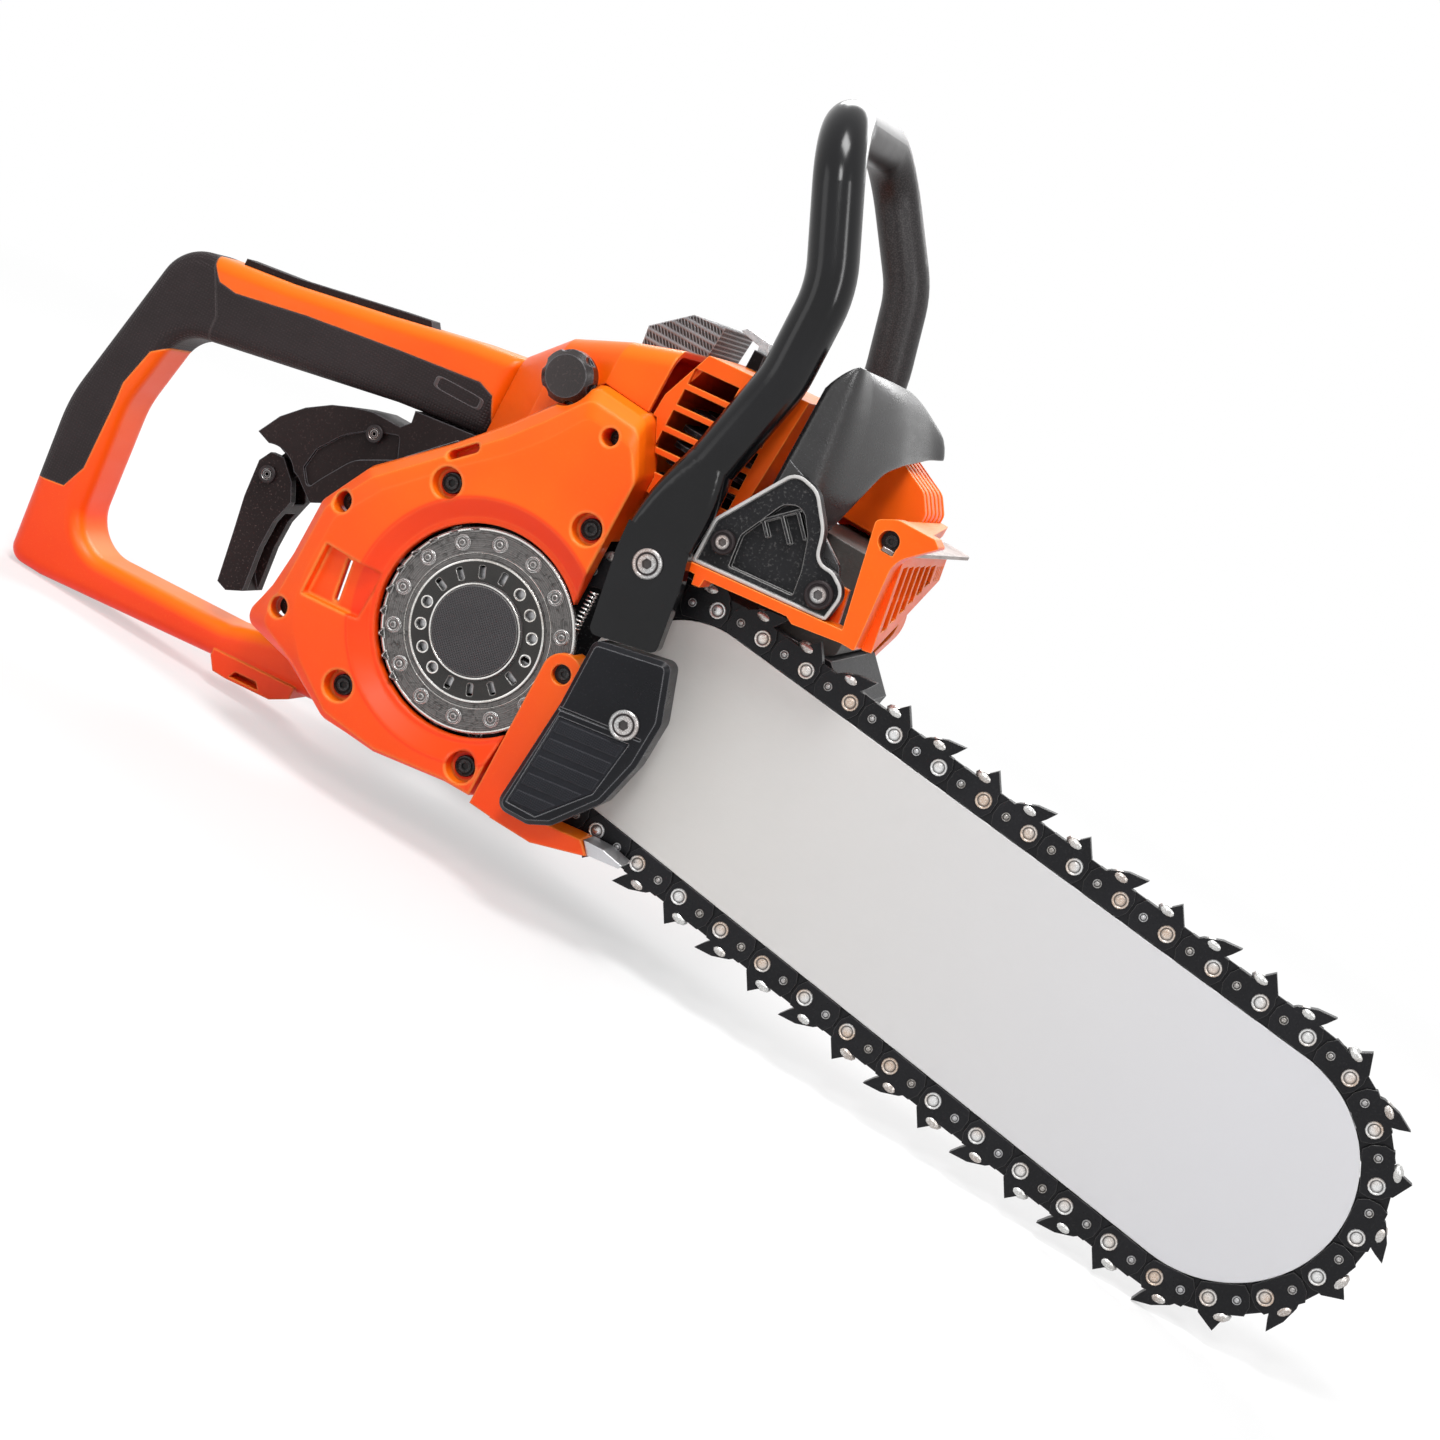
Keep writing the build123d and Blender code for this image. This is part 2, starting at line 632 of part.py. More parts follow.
def pad_region():
    return slab(shape(
        (-353.8, 199), (-340, 175), (-340, 150), (-177, 150), (-177, 198), (-183, 213), (-192, 216),
        (-240, 209), (-294, 200), (-336, 191), (-347, 192),
    ), -40, 40)


def handle_foot():
    foot = shape((-257, 15), (-252, 8), (-244, 8), (-216, 11), (-206, 17), (-206, 24), (-257, 19))
    foot = slab(foot, -handle_half_width, handle_half_width)
    return foot - slab(shape((-242, 10), (-224, 12), (-227, 15.5), (-240, 14)), -handle_half_width - 1, -8)


def rear_handle_pieces():
    """The moulded loop, its rubber rear grip and the pad under its top bar."""
    body = handle_body()
    grip = body & grip_region()
    pad = body & pad_region()
    frame = body - grip_region() - pad_region()
    return frame + handle_foot(), grip, pad


lockout_x, lockout_z, lockout_half_width = -238.0, 219.5, 6.0


def lockout_slot():
    """Groove along the handle's top for the throttle lockout."""
    return slab(shape(
        (-347, 240), (-347, 196), (-300, 199), (-230, 211), (-230, 240),
    ), -lockout_half_width - 0.5, lockout_half_width + 0.5)


def throttle_lockout():
    """Flat lever on the top of the handle, hinged at its front end."""
    lever = shape((-345, 204), (-345, 208.5), (-312, 213.5), (-254, 226), (-236, 229.5), (-232, 224),
                  (-238, 216), (-300, 205))
    lever = slab(lever, -lockout_half_width, lockout_half_width)
    return lever - disc(lockout_x, lockout_z, 2 + running_gap, -20, 20)


def lockout_pin():
    return disc(lockout_x, lockout_z, 2, -handle_half_width + 4, handle_half_width - 4)


# ---------------------------------------------------------------- trigger
def trigger_bracket():
    """Curved guard over the trigger, running up into the grip, with the ear for the trigger's pin."""
    line = [
        (-291, 133), (-283.7, 146), (-273, 157), (-260.5, 165.5), (-250, 170), (-238, 173.5), (-221, 174),
        (-216.5, 179), (-217.5, 185.4), (-178.3, 190.8), (-178.3, 187.4), (-197.6, 168), (-214, 153),
        (-221, 133), (-240, 118), (-247, 114), (-259.5, 123),
    ]
    bracket = slab(shape(*line), -bracket_half, bracket_half)
    recess = make_face(FilletPolyline(
        (-259, 129), (-257, 141), (-247, 155), (-235, 164), (-219, 170), (-214, 158), (-236, 146),
        (-247, 129), (-252, 120), radius=[2, 8, 20, 20, 2, 2, 20, 12, 2], close=True))
    for near_y in (-bracket_half - 1, bracket_half - 2):
        bracket -= slab(recess, near_y, near_y + 3)
    ear = disc(trigger_x, trigger_z, 7, -6, 6)
    ear += slab(shape((-282, 118), (-270, 112), (-262, 124), (-274, 132)), -6, 6)
    for near_y in (-bracket_half - 1, 6):
        bracket -= disc(trigger_x, trigger_z, 16.5, near_y, near_y + bracket_half - 5)
    return bracket + ear - disc(trigger_x, trigger_z, trigger_pin_r, -20, 20)


def throttle_trigger():
    """Two-cheeked lever whose front web is the finger pull."""
    outline = shape(
        (-281, 126), (-285, 119), (-283.5, 98), (-280, 78), (-275.5, 50), (-269, 48), (-260, 52.5),
        (-262.5, 78), (-262, 94), (-258, 108), (-263, 118), (-273, 127),
    )
    lever = slab(outline, -trigger_half_width, trigger_half_width)
    lever -= slab(Pos(trigger_x, trigger_z) * Circle(20), -6.4, 6.4)
    lever -= slab(shape((-274, 100), (-250, 100), (-250, 40), (-266, 60)), -6.4, 6.4)
    return lever - disc(trigger_x, trigger_z, trigger_pin_r + running_gap, -20, 20)


def trigger_pins():
    pin = disc(trigger_x, trigger_z, trigger_pin_r, -trigger_half_width - 0.5, trigger_half_width + 0.5)
    pin += disc(trigger_x, trigger_z, 4.5, -trigger_half_width - 2, -trigger_half_width - 0.5)
    screw = disc(-231.5, 164, 4.5, -17.5, -16)
    return Compound(children=[pin, screw])


# ---------------------------------------------------------------- front handle and guards
def front_handle():
    """Tube that starts as a flattened foot on the right, runs over the top and ends low on the left.
    Both its ends are closed, so it is solid here."""
    rise = handle_top_z - handle_low_z
    neck = (-46.5, near_leg_y - 4.5, handle_low_z + 0.15 * rise)
    points = [
        neck, (-36, near_leg_y, handle_low_z + 0.41 * rise), (-37, near_leg_y, handle_low_z + 0.65 * rise),
        (-71, near_leg_y + 1, handle_top_z), (-84, far_leg_y - 4, handle_top_z + 6),
        (-40, far_leg_y, handle_low_z + 0.73 * rise), (-25, far_leg_y, handle_low_z + 0.46 * rise),
        (-38, far_leg_y, handle_low_z), (-118, far_leg_y, tube_r), (-162, far_leg_y, tube_r),
        (mount_x, far_leg_y, mount_z), (mount_x, mount_y, mount_z),
    ]
    path = FilletPolyline(*points, radius=[60, 60, 32, 32, 60, 80, 100, 60, 20, 18])
    start = Plane(origin=path @ 0, z_dir=path % 0)
    return sweep(start * Circle(tube_r), path=path) + handle_plate(start)


def handle_plate(start):
    """Flattened foot of the tube, widening from its round end to a screwed plate."""
    width = 2 * tube_r - part_gap
    round_end = start.offset(2) * Rot(0, 0, 90) * RectangleRounded(width, width, width / 2 - 0.1)
    middle = Plane(origin=(-48, -88.5, 225), z_dir=(0, 0, 1)) * RectangleRounded(33, 15, 7.4)
    flat_end = Plane(origin=(-49, plate_mid_y, 205), z_dir=(0, 0, 1)) * RectangleRounded(34, plate_deep, 3.9)
    foot = make_face(FilletPolyline(
        (-66, 205), (-65, 190), (-57.5, 147.2), (-23, 155.2), (-28, 190), (-32, 205),
        radius=[0.1, 40, 4, 4, 40, 0.1], close=True))
    plate = loft([flat_end, middle, round_end]) + slab(foot, plate_mid_y - plate_deep / 2, plate_back_y)
    return plate - disc(handle_screw_x, handle_screw_z, screw_shank_r + 0.1, -100, plate_back_y)


def handle_mount():
    """Lug that carries the left end of the tube on the crankcase."""
    return Pos(mount_x, (case_left_y + mount_y) / 2, mount_z) * Box(28, mount_y - case_left_y, 28)


def handle_screws():
    heads = []
    spots = ((handle_screw_x, handle_screw_z, plate_mid_y - plate_deep / 2),
             (block_screw_x, block_screw_z, block_face_y))
    for x, z, face_y in spots:
        head = disc(x, z, 7.5, face_y - 2.2, face_y)
        head -= slab(Pos(x, z) * RegularPolygon(3, 6), face_y - 2.3, face_y - 1)
        heads.append(head + disc(x, z, screw_shank_r, face_y, face_y + 14))
    return Compound(children=heads)


block_face_y, pad_proud, pad_ribs = -102.0, 1.5, 5
block_screw_x, block_screw_z = -18.5, 119.0


def guard_block_outline():
    return make_face(FilletPolyline(
        (-57, 50), (-38, 51), (-27, 57), (-10, 80), (-4, 104), (-3, 128), (-13, 156), (-52, 147), (-52, 112),
        radius=[6, 6, 8, 10, 10, 10, 5, 5, 4], close=True,
    ))


def guard_block():
    """Shell that guards the bar's mounting, with a ribbed pad let into its lower half."""
    block = slab(guard_block_outline(), block_face_y, arm_near_y)
    block = chamfer(block.faces().sort_by(Axis.Y)[0].edges(), 2.5)
    seam = shape((-54, 108), (-46, 109.5), (-8, 116), (-8, 117), (-46, 111), (-54, 109.5))
    bed = offset(pad_outline(), 0.5, kind=Kind.INTERSECTION) + seam
    block -= slab(bed, block_face_y - 1, block_face_y + pad_proud)
    hole_r = screw_shank_r + running_gap
    return block - disc(block_screw_x, block_screw_z, hole_r, block_face_y - 1, arm_near_y - 1)


def pad_outline():
    return shape((-51.5, 56.5), (-36, 57.5), (-16.5, 82), (-12.6, 111.4), (-48.5, 105.5))


def guard_pad():
    """Pad let into the block, with shallow ribs across it."""
    pad = slab(pad_outline(), block_face_y + 0.5, block_face_y + pad_proud)
    for k in range(pad_ribs):
        rib = (Pos(-30, 64 + 10 * k) * Rot(0, 0, 9) * Rectangle(60, 6)) & offset(pad_outline(), -1)
        pad += slab(rib, block_face_y, block_face_y + 0.5)
    return pad


# ---------------------------------------------------------------- front frame and brake
pivot_r = 4.0
casting_near_y, casting_far_y, casting_rim = -86.0, -78.0, 1.6
guard_near_y, guard_wall_y = -77.5, -73.6
strip_rise = 9.5 / 89
rail_back_x, rail_low_z, rail_top_z = 40.0, 258.4, 264.0
frame_hole_x, frame_hole_z, frame_hole_r = 47.5, 257.0, 5.2


def strip_top(x):
    return 201 + strip_rise * (x + 34)


def front_frame():
    """Moulded strip over the bar with its arched upright, cross rail and the lug for the pivot."""
    strip = shape((-66, 196), (-66, strip_top(-34)), (-34, strip_top(-34)), (55, strip_top(55)), (57, 205),
                  (26, 200), (22, 202), (-21.5, 197), (-22, 192.5), (-26, 192), (-27, 197))
    arch = make_face(FilletPolyline(
        (37, 263), (46, 268), (66, 268.5), (70, 265.5), (54, 250), (58.5, 204), (50, 204),
        radius=[3, 10, 1, 1, 14, 1, 1], close=True))
    frame = slab(strip + arch, frame_near_y, frame_far_y)
    rail = shape((rail_back_x, 88), (60, 88), (59, 70), (46, -60), (44, -76), (rail_back_x, -76))
    frame += Pos(0, 0, rail_low_z) * extrude(Rot(180, 0, 0) * rail, -(rail_top_z - rail_low_z))
    lug = shape((18, 205), (20, 226), (40, 226), (44, 205))
    frame += slab(lug, guard_wall_y + 0.4, frame_far_y)
    slot = extrude(shield_plan(part_gap), shield_thick + 4 * part_gap)
    slot = Pos(0, 0, shield_low(shield_near_y) - part_gap) * slot
    frame -= slot & slab(arch, frame_near_y, frame_far_y)
    frame -= disc(pivot_x, pivot_z, pivot_r + running_gap, frame_near_y, frame_far_y)
    frame -= disc(handle_screw_x, handle_screw_z, screw_shank_r + running_gap, frame_near_y, frame_far_y)
    return frame - disc(frame_hole_x, frame_hole_z, frame_hole_r, frame_near_y - 1, frame_near_y + 8)


def casting_outline():
    return make_face(FilletPolyline(
        (-32, strip_top(-32) + part_gap), (-32, 225), (-8, 264), (6, 261), (18, 246), (22, 231.5),
        (31, 231.5), (41, 225), (39, strip_top(39) + part_gap),
        radius=[0.5, 7, 9, 12, 20, 7, 9, 9, 2], close=True))


def brake_casting():
    """Rimmed cover arm beside the guard's pivot, with the comb of ribs inside its recess."""
    casting = slab(casting_outline(), casting_near_y + casting_rim, casting_far_y)
    rim = casting_outline() - offset(casting_outline(), -casting_rim, kind=Kind.INTERSECTION)
    casting += slab(rim, casting_near_y, casting_near_y + casting_rim)
    recess = make_face(FilletPolyline(
        (-15, 208), (-17, 224), (-6, 247), (3, 251), (12, 239), (17, 224), (19, 211.5),
        radius=[1, 5, 8, 7, 12, 12, 1], close=True))
    casting -= slab(recess, casting_near_y, casting_near_y + 6.5)
    comb = Rectangle(22, 1.6, align=(Align.CENTER, Align.MAX))
    for x, length in ((-9.5, 9), (0, 15), (8, 15)):
        comb += Pos(x, 0) * Rectangle(1.8, length, align=(Align.CENTER, Align.MAX))
    comb = (Pos(-5, 242.5) * Rot(0, 0, 44) * comb) & recess
    casting += slab(comb, casting_near_y + 2.5, casting_near_y + 6.5)
    casting -= disc(boss_screw_x, boss_screw_z, boss_screw_r + running_gap, casting_near_y, casting_far_y)
    return casting - disc(pivot_x, pivot_z, pivot_r + running_gap, casting_near_y, casting_far_y)


boss_screw_x, boss_screw_z, boss_screw_r = -22.5, 217.0, 3.0


def brake_screws():
    heads = []
    for x, z, r, end_y in ((boss_screw_x, boss_screw_z, boss_screw_r, casting_far_y),
                           (pivot_x, pivot_z, pivot_r, frame_far_y)):
        seat_y = casting_near_y + casting_rim
        head = disc(x, z, r + 3, seat_y - 4, seat_y)
        head -= slab(Pos(x, z) * RegularPolygon(2.5, 6), seat_y - 5, seat_y - 2.5)
        heads.append(head + disc(x, z, r, seat_y, end_y))
    return Compound(children=heads)


guard_foot_z, guard_tip_z = 222.0, 322.0


def guard_section(z, wall_x, crease_x, middle, far, curl):
    """Band seen from above: side wall, rounded crease, blade and the curled far end."""
    near, inner = guard_near_y, guard_wall_y
    (mid_x, mid_y), (far_x, far_y), (curl_x, curl_y) = middle, far, curl
    band = FilletPolyline(
        (wall_x, near), (crease_x, near), (mid_x, mid_y), (far_x, far_y), (curl_x, curl_y),
        (curl_x - guard_thick, curl_y + 2), (far_x - guard_thick, far_y + 2), (mid_x - guard_thick, mid_y),
        (crease_x - guard_thick + 1, inner), (wall_x, inner),
        radius=[0.5, 11, 40, 12, 1.5, 1.5, 12, 40, 8, 0.5], close=True)
    return Plane.XY.offset(z) * make_face(band)


def hand_guard():
    """Bowl-shaped guard: side wall on the right flowing into a blade that leans over the saw."""
    low = guard_section(guard_foot_z, -26, 8.5, (49, -18), (56, 50), (62, 66))
    high = guard_section(guard_tip_z, -26, -6, (2, -20), (4, 50), (11, 66))
    bowl = loft([low, high], ruled=True)
    front = make_face(FilletPolyline(
        (-90, 226), (-90, 321.5), (-66, 321), (-56, 317), (0, 318), (56, 316), (70, 304), (66, 291),
        (22, 287), (-10, 279.5), (-34, 262), (-50, 243), (-50, 226),
        radius=[1, 1, 9, 14, 200, 12, 9, 9, 60, 40, 30, 10, 3], close=True))
    side = make_face(FilletPolyline(
        (-17.5, 236), (-17.5, 307), (-8, 330), (90, 330), (90, 222), (10, 222),
        radius=[1, 14, 1, 1, 1, 1], close=True))
    bowl = bowl & extrude(Plane.YZ.offset(-40) * front, 130) & slab(side, -80, 80)
    wall = shape((24, 212), (-17.5, 245), (-17.5, 270), (0, 262), (5, 250), (31, 234), (37, 222), (36, 214))
    guard = bowl + slab(wall, guard_near_y, guard_wall_y)
    guard += disc(pivot_x, pivot_z, 9, guard_near_y, guard_wall_y)
    return guard - disc(pivot_x, pivot_z, pivot_r + running_gap, guard_near_y - 1, guard_wall_y + 1)


grille_lean, grille_x, grille_thick = 10.0, 49.5, 5.0
grille_near_y, grille_far_y, grille_low_z = -70.0, 53.0, 203.0
shield_rise, shield_thick, shield_near_y = 0.03, 2.0, -88.4
grille_bars, grille_pitch, bar_wide = 6, 15.5, 3.2


def shield_low(y):
    return rail_low_z - part_gap - shield_thick - shield_rise * (grille_far_y - y)


def front_grille():
    """Leaning panel in front of the muffler: open bars at the right, fluted wall at the left."""
    top_z = shield_low(grille_far_y) - part_gap - grille_thick * sin(radians(grille_lean))
    near_top = shield_low(grille_near_y) - shield_low(grille_far_y)
    depth = top_z - grille_low_z
    outline = shape((grille_near_y, -depth), (grille_near_y, near_top), (grille_far_y, 0),
                    (grille_far_y, 35 - depth))
    panel = extrude(Plane.YZ * outline, grille_thick)
    for k in range(grille_bars):
        y = grille_near_y + 6 + grille_pitch * k
        low = 8 - depth + (y - grille_near_y) * 35 / (grille_far_y - grille_near_y)
        wide = grille_pitch - bar_wide
        gap = shape((y, low), (y + wide, low + 2), (y + wide, -8), (y, -9))
        panel -= extrude(Plane.YZ * gap, grille_thick)
        cross = Pos(y + grille_pitch / 2, -26) * Rectangle(grille_pitch, 2.5)
        panel += extrude(Plane.YZ.offset(1) * cross, 2)
    for k in range(4):
        flute = Pos(grille_far_y - 4 - 5 * k, -depth / 2 + 13) * Rectangle(2, depth - 44)
        panel -= extrude(Plane.YZ.offset(grille_thick - 1) * flute, 1)
    return Pos(grille_x, 0, top_z) * Rot(0, -grille_lean, 0) * panel


def shield_plan(grow=0.0):
    near, far = shield_near_y, grille_far_y
    plan = FilletPolyline((46, near), (52.5, near), (66, far - 2), (60, far), (50, far),
                          radius=[1, 2, 3, 3, 1], close=True)
    return offset(make_face(plan), grow, kind=Kind.INTERSECTION) if grow else make_face(plan)


def deflector():
    """Thin heat shield that runs across the saw between the grille and the rail."""
    tilt = degrees(atan2(shield_rise, 1))
    shield = Pos(0, -grille_far_y, 0) * extrude(shield_plan(), shield_thick)
    return Pos(0, grille_far_y, shield_low(grille_far_y)) * Rot(tilt, 0, 0) * shield


hood_near_y, hood_wall, hood_ribs, hood_pitch = 19.0, 2.5, 5, 11.5


def ribbed_hood():
    """Fluted cowl over the left front corner of the engine, open below."""
    def profile(low_z, inset=0.0):
        line = [(-22, low_z), (-22, 291), (6, 290), (33, 277.5), (39.5, 268), (39.5, low_z)]
        face = make_face(FilletPolyline(*line, radius=[1, 4, 24, 10, 6, 1], close=True))
        return offset(face, -inset, kind=Kind.INTERSECTION) if inset else face

    hood = slab(profile(246), hood_near_y, starter_left_y) + slab(profile(212), case_left_y, starter_left_y)
    hood -= slab(profile(200, hood_wall), hood_near_y + hood_wall, starter_left_y - hood_wall)
    flute = profile(262) - profile(200, 1.8) - Pos(-30, 270) * Rectangle(40, 60)
    for k in range(hood_ribs):
        y = hood_near_y + 4 + hood_pitch * k
        hood -= slab(flute, y, y + hood_pitch / 2)
    return hood - slab(starter_outline(part_gap), case_left_y, starter_left_y + 1)


# ---------------------------------------------------------------- starter side
def starter_outline(grow=0.0):
    return belt_outline([
        (axis_x, axis_z, 58 + grow), (-20, 100, 36 + grow), (26, 205, 24 + grow), (-50, 218, 26 + grow),
        (-130, 172, 30 + grow),
    ])


def starter_cover():
    """Fan cover with a ring of slots and the pulley's post."""
    cover = slab(starter_outline(), case_left_y, starter_left_y)
    cover = chamfer(cover.faces().sort_by(Axis.Y)[-1].edges(), 4)
    cover -= slab(starter_outline(-3), case_left_y, starter_left_y - 3)
    for k in range(14):
        slot = Rot(0, 0, 360 / 14 * k) * Pos(41, 0) * Rot(0, 0, 20) * RectangleRounded(18, 5, 2)
        cover -= slab(Pos(axis_x, axis_z) * slot, starter_left_y - 4, starter_left_y)
    return cover + disc(axis_x, axis_z, 6, pulley_near_y, starter_left_y - 3)


def starter_pulley():
    pulley = turned(
        axis_x, axis_z,
        (6 + running_gap, pulley_near_y), (pulley_r, pulley_near_y), (pulley_r, pulley_near_y + 1.2),
        (pulley_r - 5, pulley_near_y + 1.6), (pulley_r - 5, pulley_far_y - 1.6),
        (pulley_r, pulley_far_y - 1.2), (pulley_r, pulley_far_y), (6 + running_gap, pulley_far_y),
    )
    return pulley


def starter_screws():
    spots = ((-160, 80), (-12, 78), (36, 215), (-150, 186))
    return Compound(children=[disc(x, z, 4.5, starter_left_y, starter_left_y + 1.2) for x, z in spots])


def starter_grip():
    """T-shaped pull seated on top of the fan cover."""
    stem = extrude(Circle(5), 8)
    bar = Pos(0, 0, 8) * extrude(RectangleRounded(34, 13, 6), 11)
    grip = stem + fillet(bar.edges().filter_by(Axis.Z, reverse=True), 3)
    return Pos(-52, 65, 244.3) * grip


def turning_cap(place):
    """Screw cap with a cross bar, its neck in the crankcase wall."""
    x, z = place
    cap = turned(
        x, z,
        (0, case_left_y - 5), (cap_neck_r, case_left_y - 5), (cap_neck_r, case_left_y + 0.3),
        (13, case_left_y + 0.3), (13, case_left_y + 5), (11, case_left_y + 6), (0, case_left_y + 6),
    )
    return cap + slab(Pos(x, z) * RectangleRounded(20, 4, 1.5), case_left_y + 6, case_left_y + 9)


switch_at, choke_at, spindle_r = (-105.0, 258.0), (-105.0, 230.0), 2.5


def turning_lever(place, side_y, reach):
    """Short lever on a spindle that runs into the moulding."""
    x, z = place
    lever = disc(x, z, 6, side_y + 0.3, side_y + 4)
    arm = shape((x - 3, z), (x + 3, z), (x + 2.5, z + reach), (x - 2.5, z + reach))
    lever += slab(arm, side_y + 0.3, side_y + 4)
    return lever + disc(x, z, spindle_r, side_y - 3, side_y + 0.3)


def carburettor():
    body = Pos(-118, 0, 206.3) * Box(26, 34, 34)
    return body - Pos(-118, 0, 208) * Rot(0, 90, 0) * extrude(Circle(8), 14, both=True)


def chain_brake_band():
    """Steel band round the clutch drum, anchored in the clutch cover."""
    near_y, far_y = drum_back_y - 4, drum_back_y - 0.5
    band = Pos(axis_x, axis_z) * (Circle(drum_r + 2) - Circle(drum_r + 0.8))
    band -= Pos(axis_x, axis_z) * Rot(0, 0, 150) * Pos(34, 0) * Rectangle(20, 12)
    reach = sprocket_line_r + tooth_tip + 1.2
    tab = Pos((drum_r + 1 + reach) / 2, 0) * Rectangle(reach - drum_r - 1, 3)
    tab = Pos(axis_x, axis_z) * Rot(0, 0, 170) * tab
    return slab(band + tab, near_y, far_y)


oil_pump_x, oil_pump_z = -61.5, 105.0


def oil_pump():
    """Cast block on the crankcase behind the drive side, with its worm's housing."""
    return slab(Pos(oil_pump_x, oil_pump_z) * RectangleRounded(28, 24, 4), bar_y + 2, case_right_y)


def handle_buffer():
    """Rubber buffer between the crankcase and the rear handle's tongue."""
    gap = slab(shape((-179, 48.1), (-165, 46.5), (-165, 52.2), (-179, 52.7)), -10, 10)
    return gap & (Pos(-172, 0, 40) * extrude(Circle(6.5), 20))


# ---------------------------------------------------------------- export
origin_x, origin_y = 6.0, -0.85


def rear_handle_nodes():
    frame, grip, pad = rear_handle_pieces()
    slot = lockout_slot()
    pin_hole = disc(lockout_x, lockout_z, 2 + running_gap, 4 - handle_half_width, handle_half_width - 4)
    return {
        "rear_handle_frame": frame - slot - pin_hole,
        "rear_handle_grip": grip - slot,
        "rear_handle_pad": pad - slot - pin_hole,
    }


def all_nodes():
    drive_link = slab(plate_outline(tang_depth), -drive_y, drive_y)
    nodes = {
        "guide_bar": guide_bar(),
        "chain_spike_links": at_links(toothed_link(spike_outline()), 0, 4),
        "chain_hook_links": at_links(toothed_link(hook_outline()), 2, 4),
        "chain_drive_links": at_links(drive_link, 1, 2),
        "chain_rivets": Compound(children=[*rivets(rivet_r, 0, 8), *rivets(small_rivet_r, 1, 6)]),
        "clutch_cover": clutch_cover(),
        "cover_screws": Compound(children=[cover_screw(x, z) for x, z in cover_screws]),
        "cover_arm": cover_arm(),
        "chain_catcher": chain_catcher(),
        "clutch_drum": clutch_drum(),
        "clutch_cap": clutch_cap(),
        "drive_sprocket": drive_sprocket(),
        "sprocket_flange": sprocket_flange(),
        "clutch_shoes": clutch_shoes(),
        "brake_band": chain_brake_band(),
        "oil_pump": oil_pump(),
        "crankcase": crankcase(),
        "bar_studs": bar_studs(),
        "bar_nuts": bar_nuts(),
        "crankshaft": crankshaft(),
        "flywheel": flywheel(),
        "ignition_coil": ignition_coil(),
        "cylinder": cylinder(),
        "piston": piston(),
        "spark_plug": spark_plug(),
        "muffler": muffler(),
        "carburettor": carburettor(),
        "top_housing": top_housing(),
        "filter_knob": filter_knob(),
        "air_filter": air_filter(),
        "filter_clip": filter_clip(),
        "clip_pin": clip_pin(),
        "cylinder_cover": cylinder_cover(),
        "ribbed_hood": ribbed_hood(),
        "front_frame": front_frame(),
        "front_grille": front_grille(),
        "deflector": deflector(),
        "brake_casting": brake_casting(),
        "brake_screws": brake_screws(),
        "hand_guard": hand_guard(),
        "front_handle": front_handle(),
        "handle_screws": handle_screws(),
        "guard_block": guard_block(),
        "guard_pad": guard_pad(),
        "handle_pins": Compound(children=[lockout_pin(), *trigger_pins().solids()]),
        "trigger_bracket": trigger_bracket(),
        "throttle_trigger": throttle_trigger(),
        "throttle_lockout": throttle_lockout(),
        "handle_buffer": handle_buffer(),
        "starter_cover": starter_cover(),
        "starter_screws": starter_screws(),
        "starter_pulley": starter_pulley(),
        "starter_grip": starter_grip(),
        "fuel_cap": turning_cap(fuel_cap_at),
        "oil_cap": turning_cap(oil_cap_at),
        "stop_switch": turning_lever(switch_at, top_left_y, 9),
        "choke_lever": turning_lever(choke_at, top_left_y, 15),
    }
    nodes.update(rear_handle_nodes())
    return nodes


os.makedirs("parts", exist_ok=True)
for name, solid in all_nodes().items():
    export_step(Pos(-origin_x, -origin_y, 0) * solid, f"parts/{name}.step")
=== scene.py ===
import json
import math
import bpy
import bmesh
import numpy as np
from mathutils import Matrix, Vector


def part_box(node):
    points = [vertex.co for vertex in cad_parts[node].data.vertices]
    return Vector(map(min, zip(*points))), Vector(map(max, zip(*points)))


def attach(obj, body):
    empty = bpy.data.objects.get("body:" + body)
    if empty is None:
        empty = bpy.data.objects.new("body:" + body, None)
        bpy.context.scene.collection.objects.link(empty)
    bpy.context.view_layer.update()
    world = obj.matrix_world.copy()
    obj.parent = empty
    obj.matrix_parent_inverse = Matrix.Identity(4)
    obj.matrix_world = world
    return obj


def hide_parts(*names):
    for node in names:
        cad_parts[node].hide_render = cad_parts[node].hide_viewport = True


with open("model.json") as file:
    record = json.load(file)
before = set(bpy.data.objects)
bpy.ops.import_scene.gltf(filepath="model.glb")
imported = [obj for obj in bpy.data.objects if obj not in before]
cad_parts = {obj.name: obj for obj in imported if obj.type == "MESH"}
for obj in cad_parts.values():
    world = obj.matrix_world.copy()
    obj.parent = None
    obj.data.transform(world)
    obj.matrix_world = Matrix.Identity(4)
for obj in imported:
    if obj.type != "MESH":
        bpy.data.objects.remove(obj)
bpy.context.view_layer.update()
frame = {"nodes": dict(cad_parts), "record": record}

nodes = frame["nodes"]
scene = bpy.context.scene
scene.view_settings.view_transform = "Standard"
print("frame loaded:", len(nodes), "nodes")


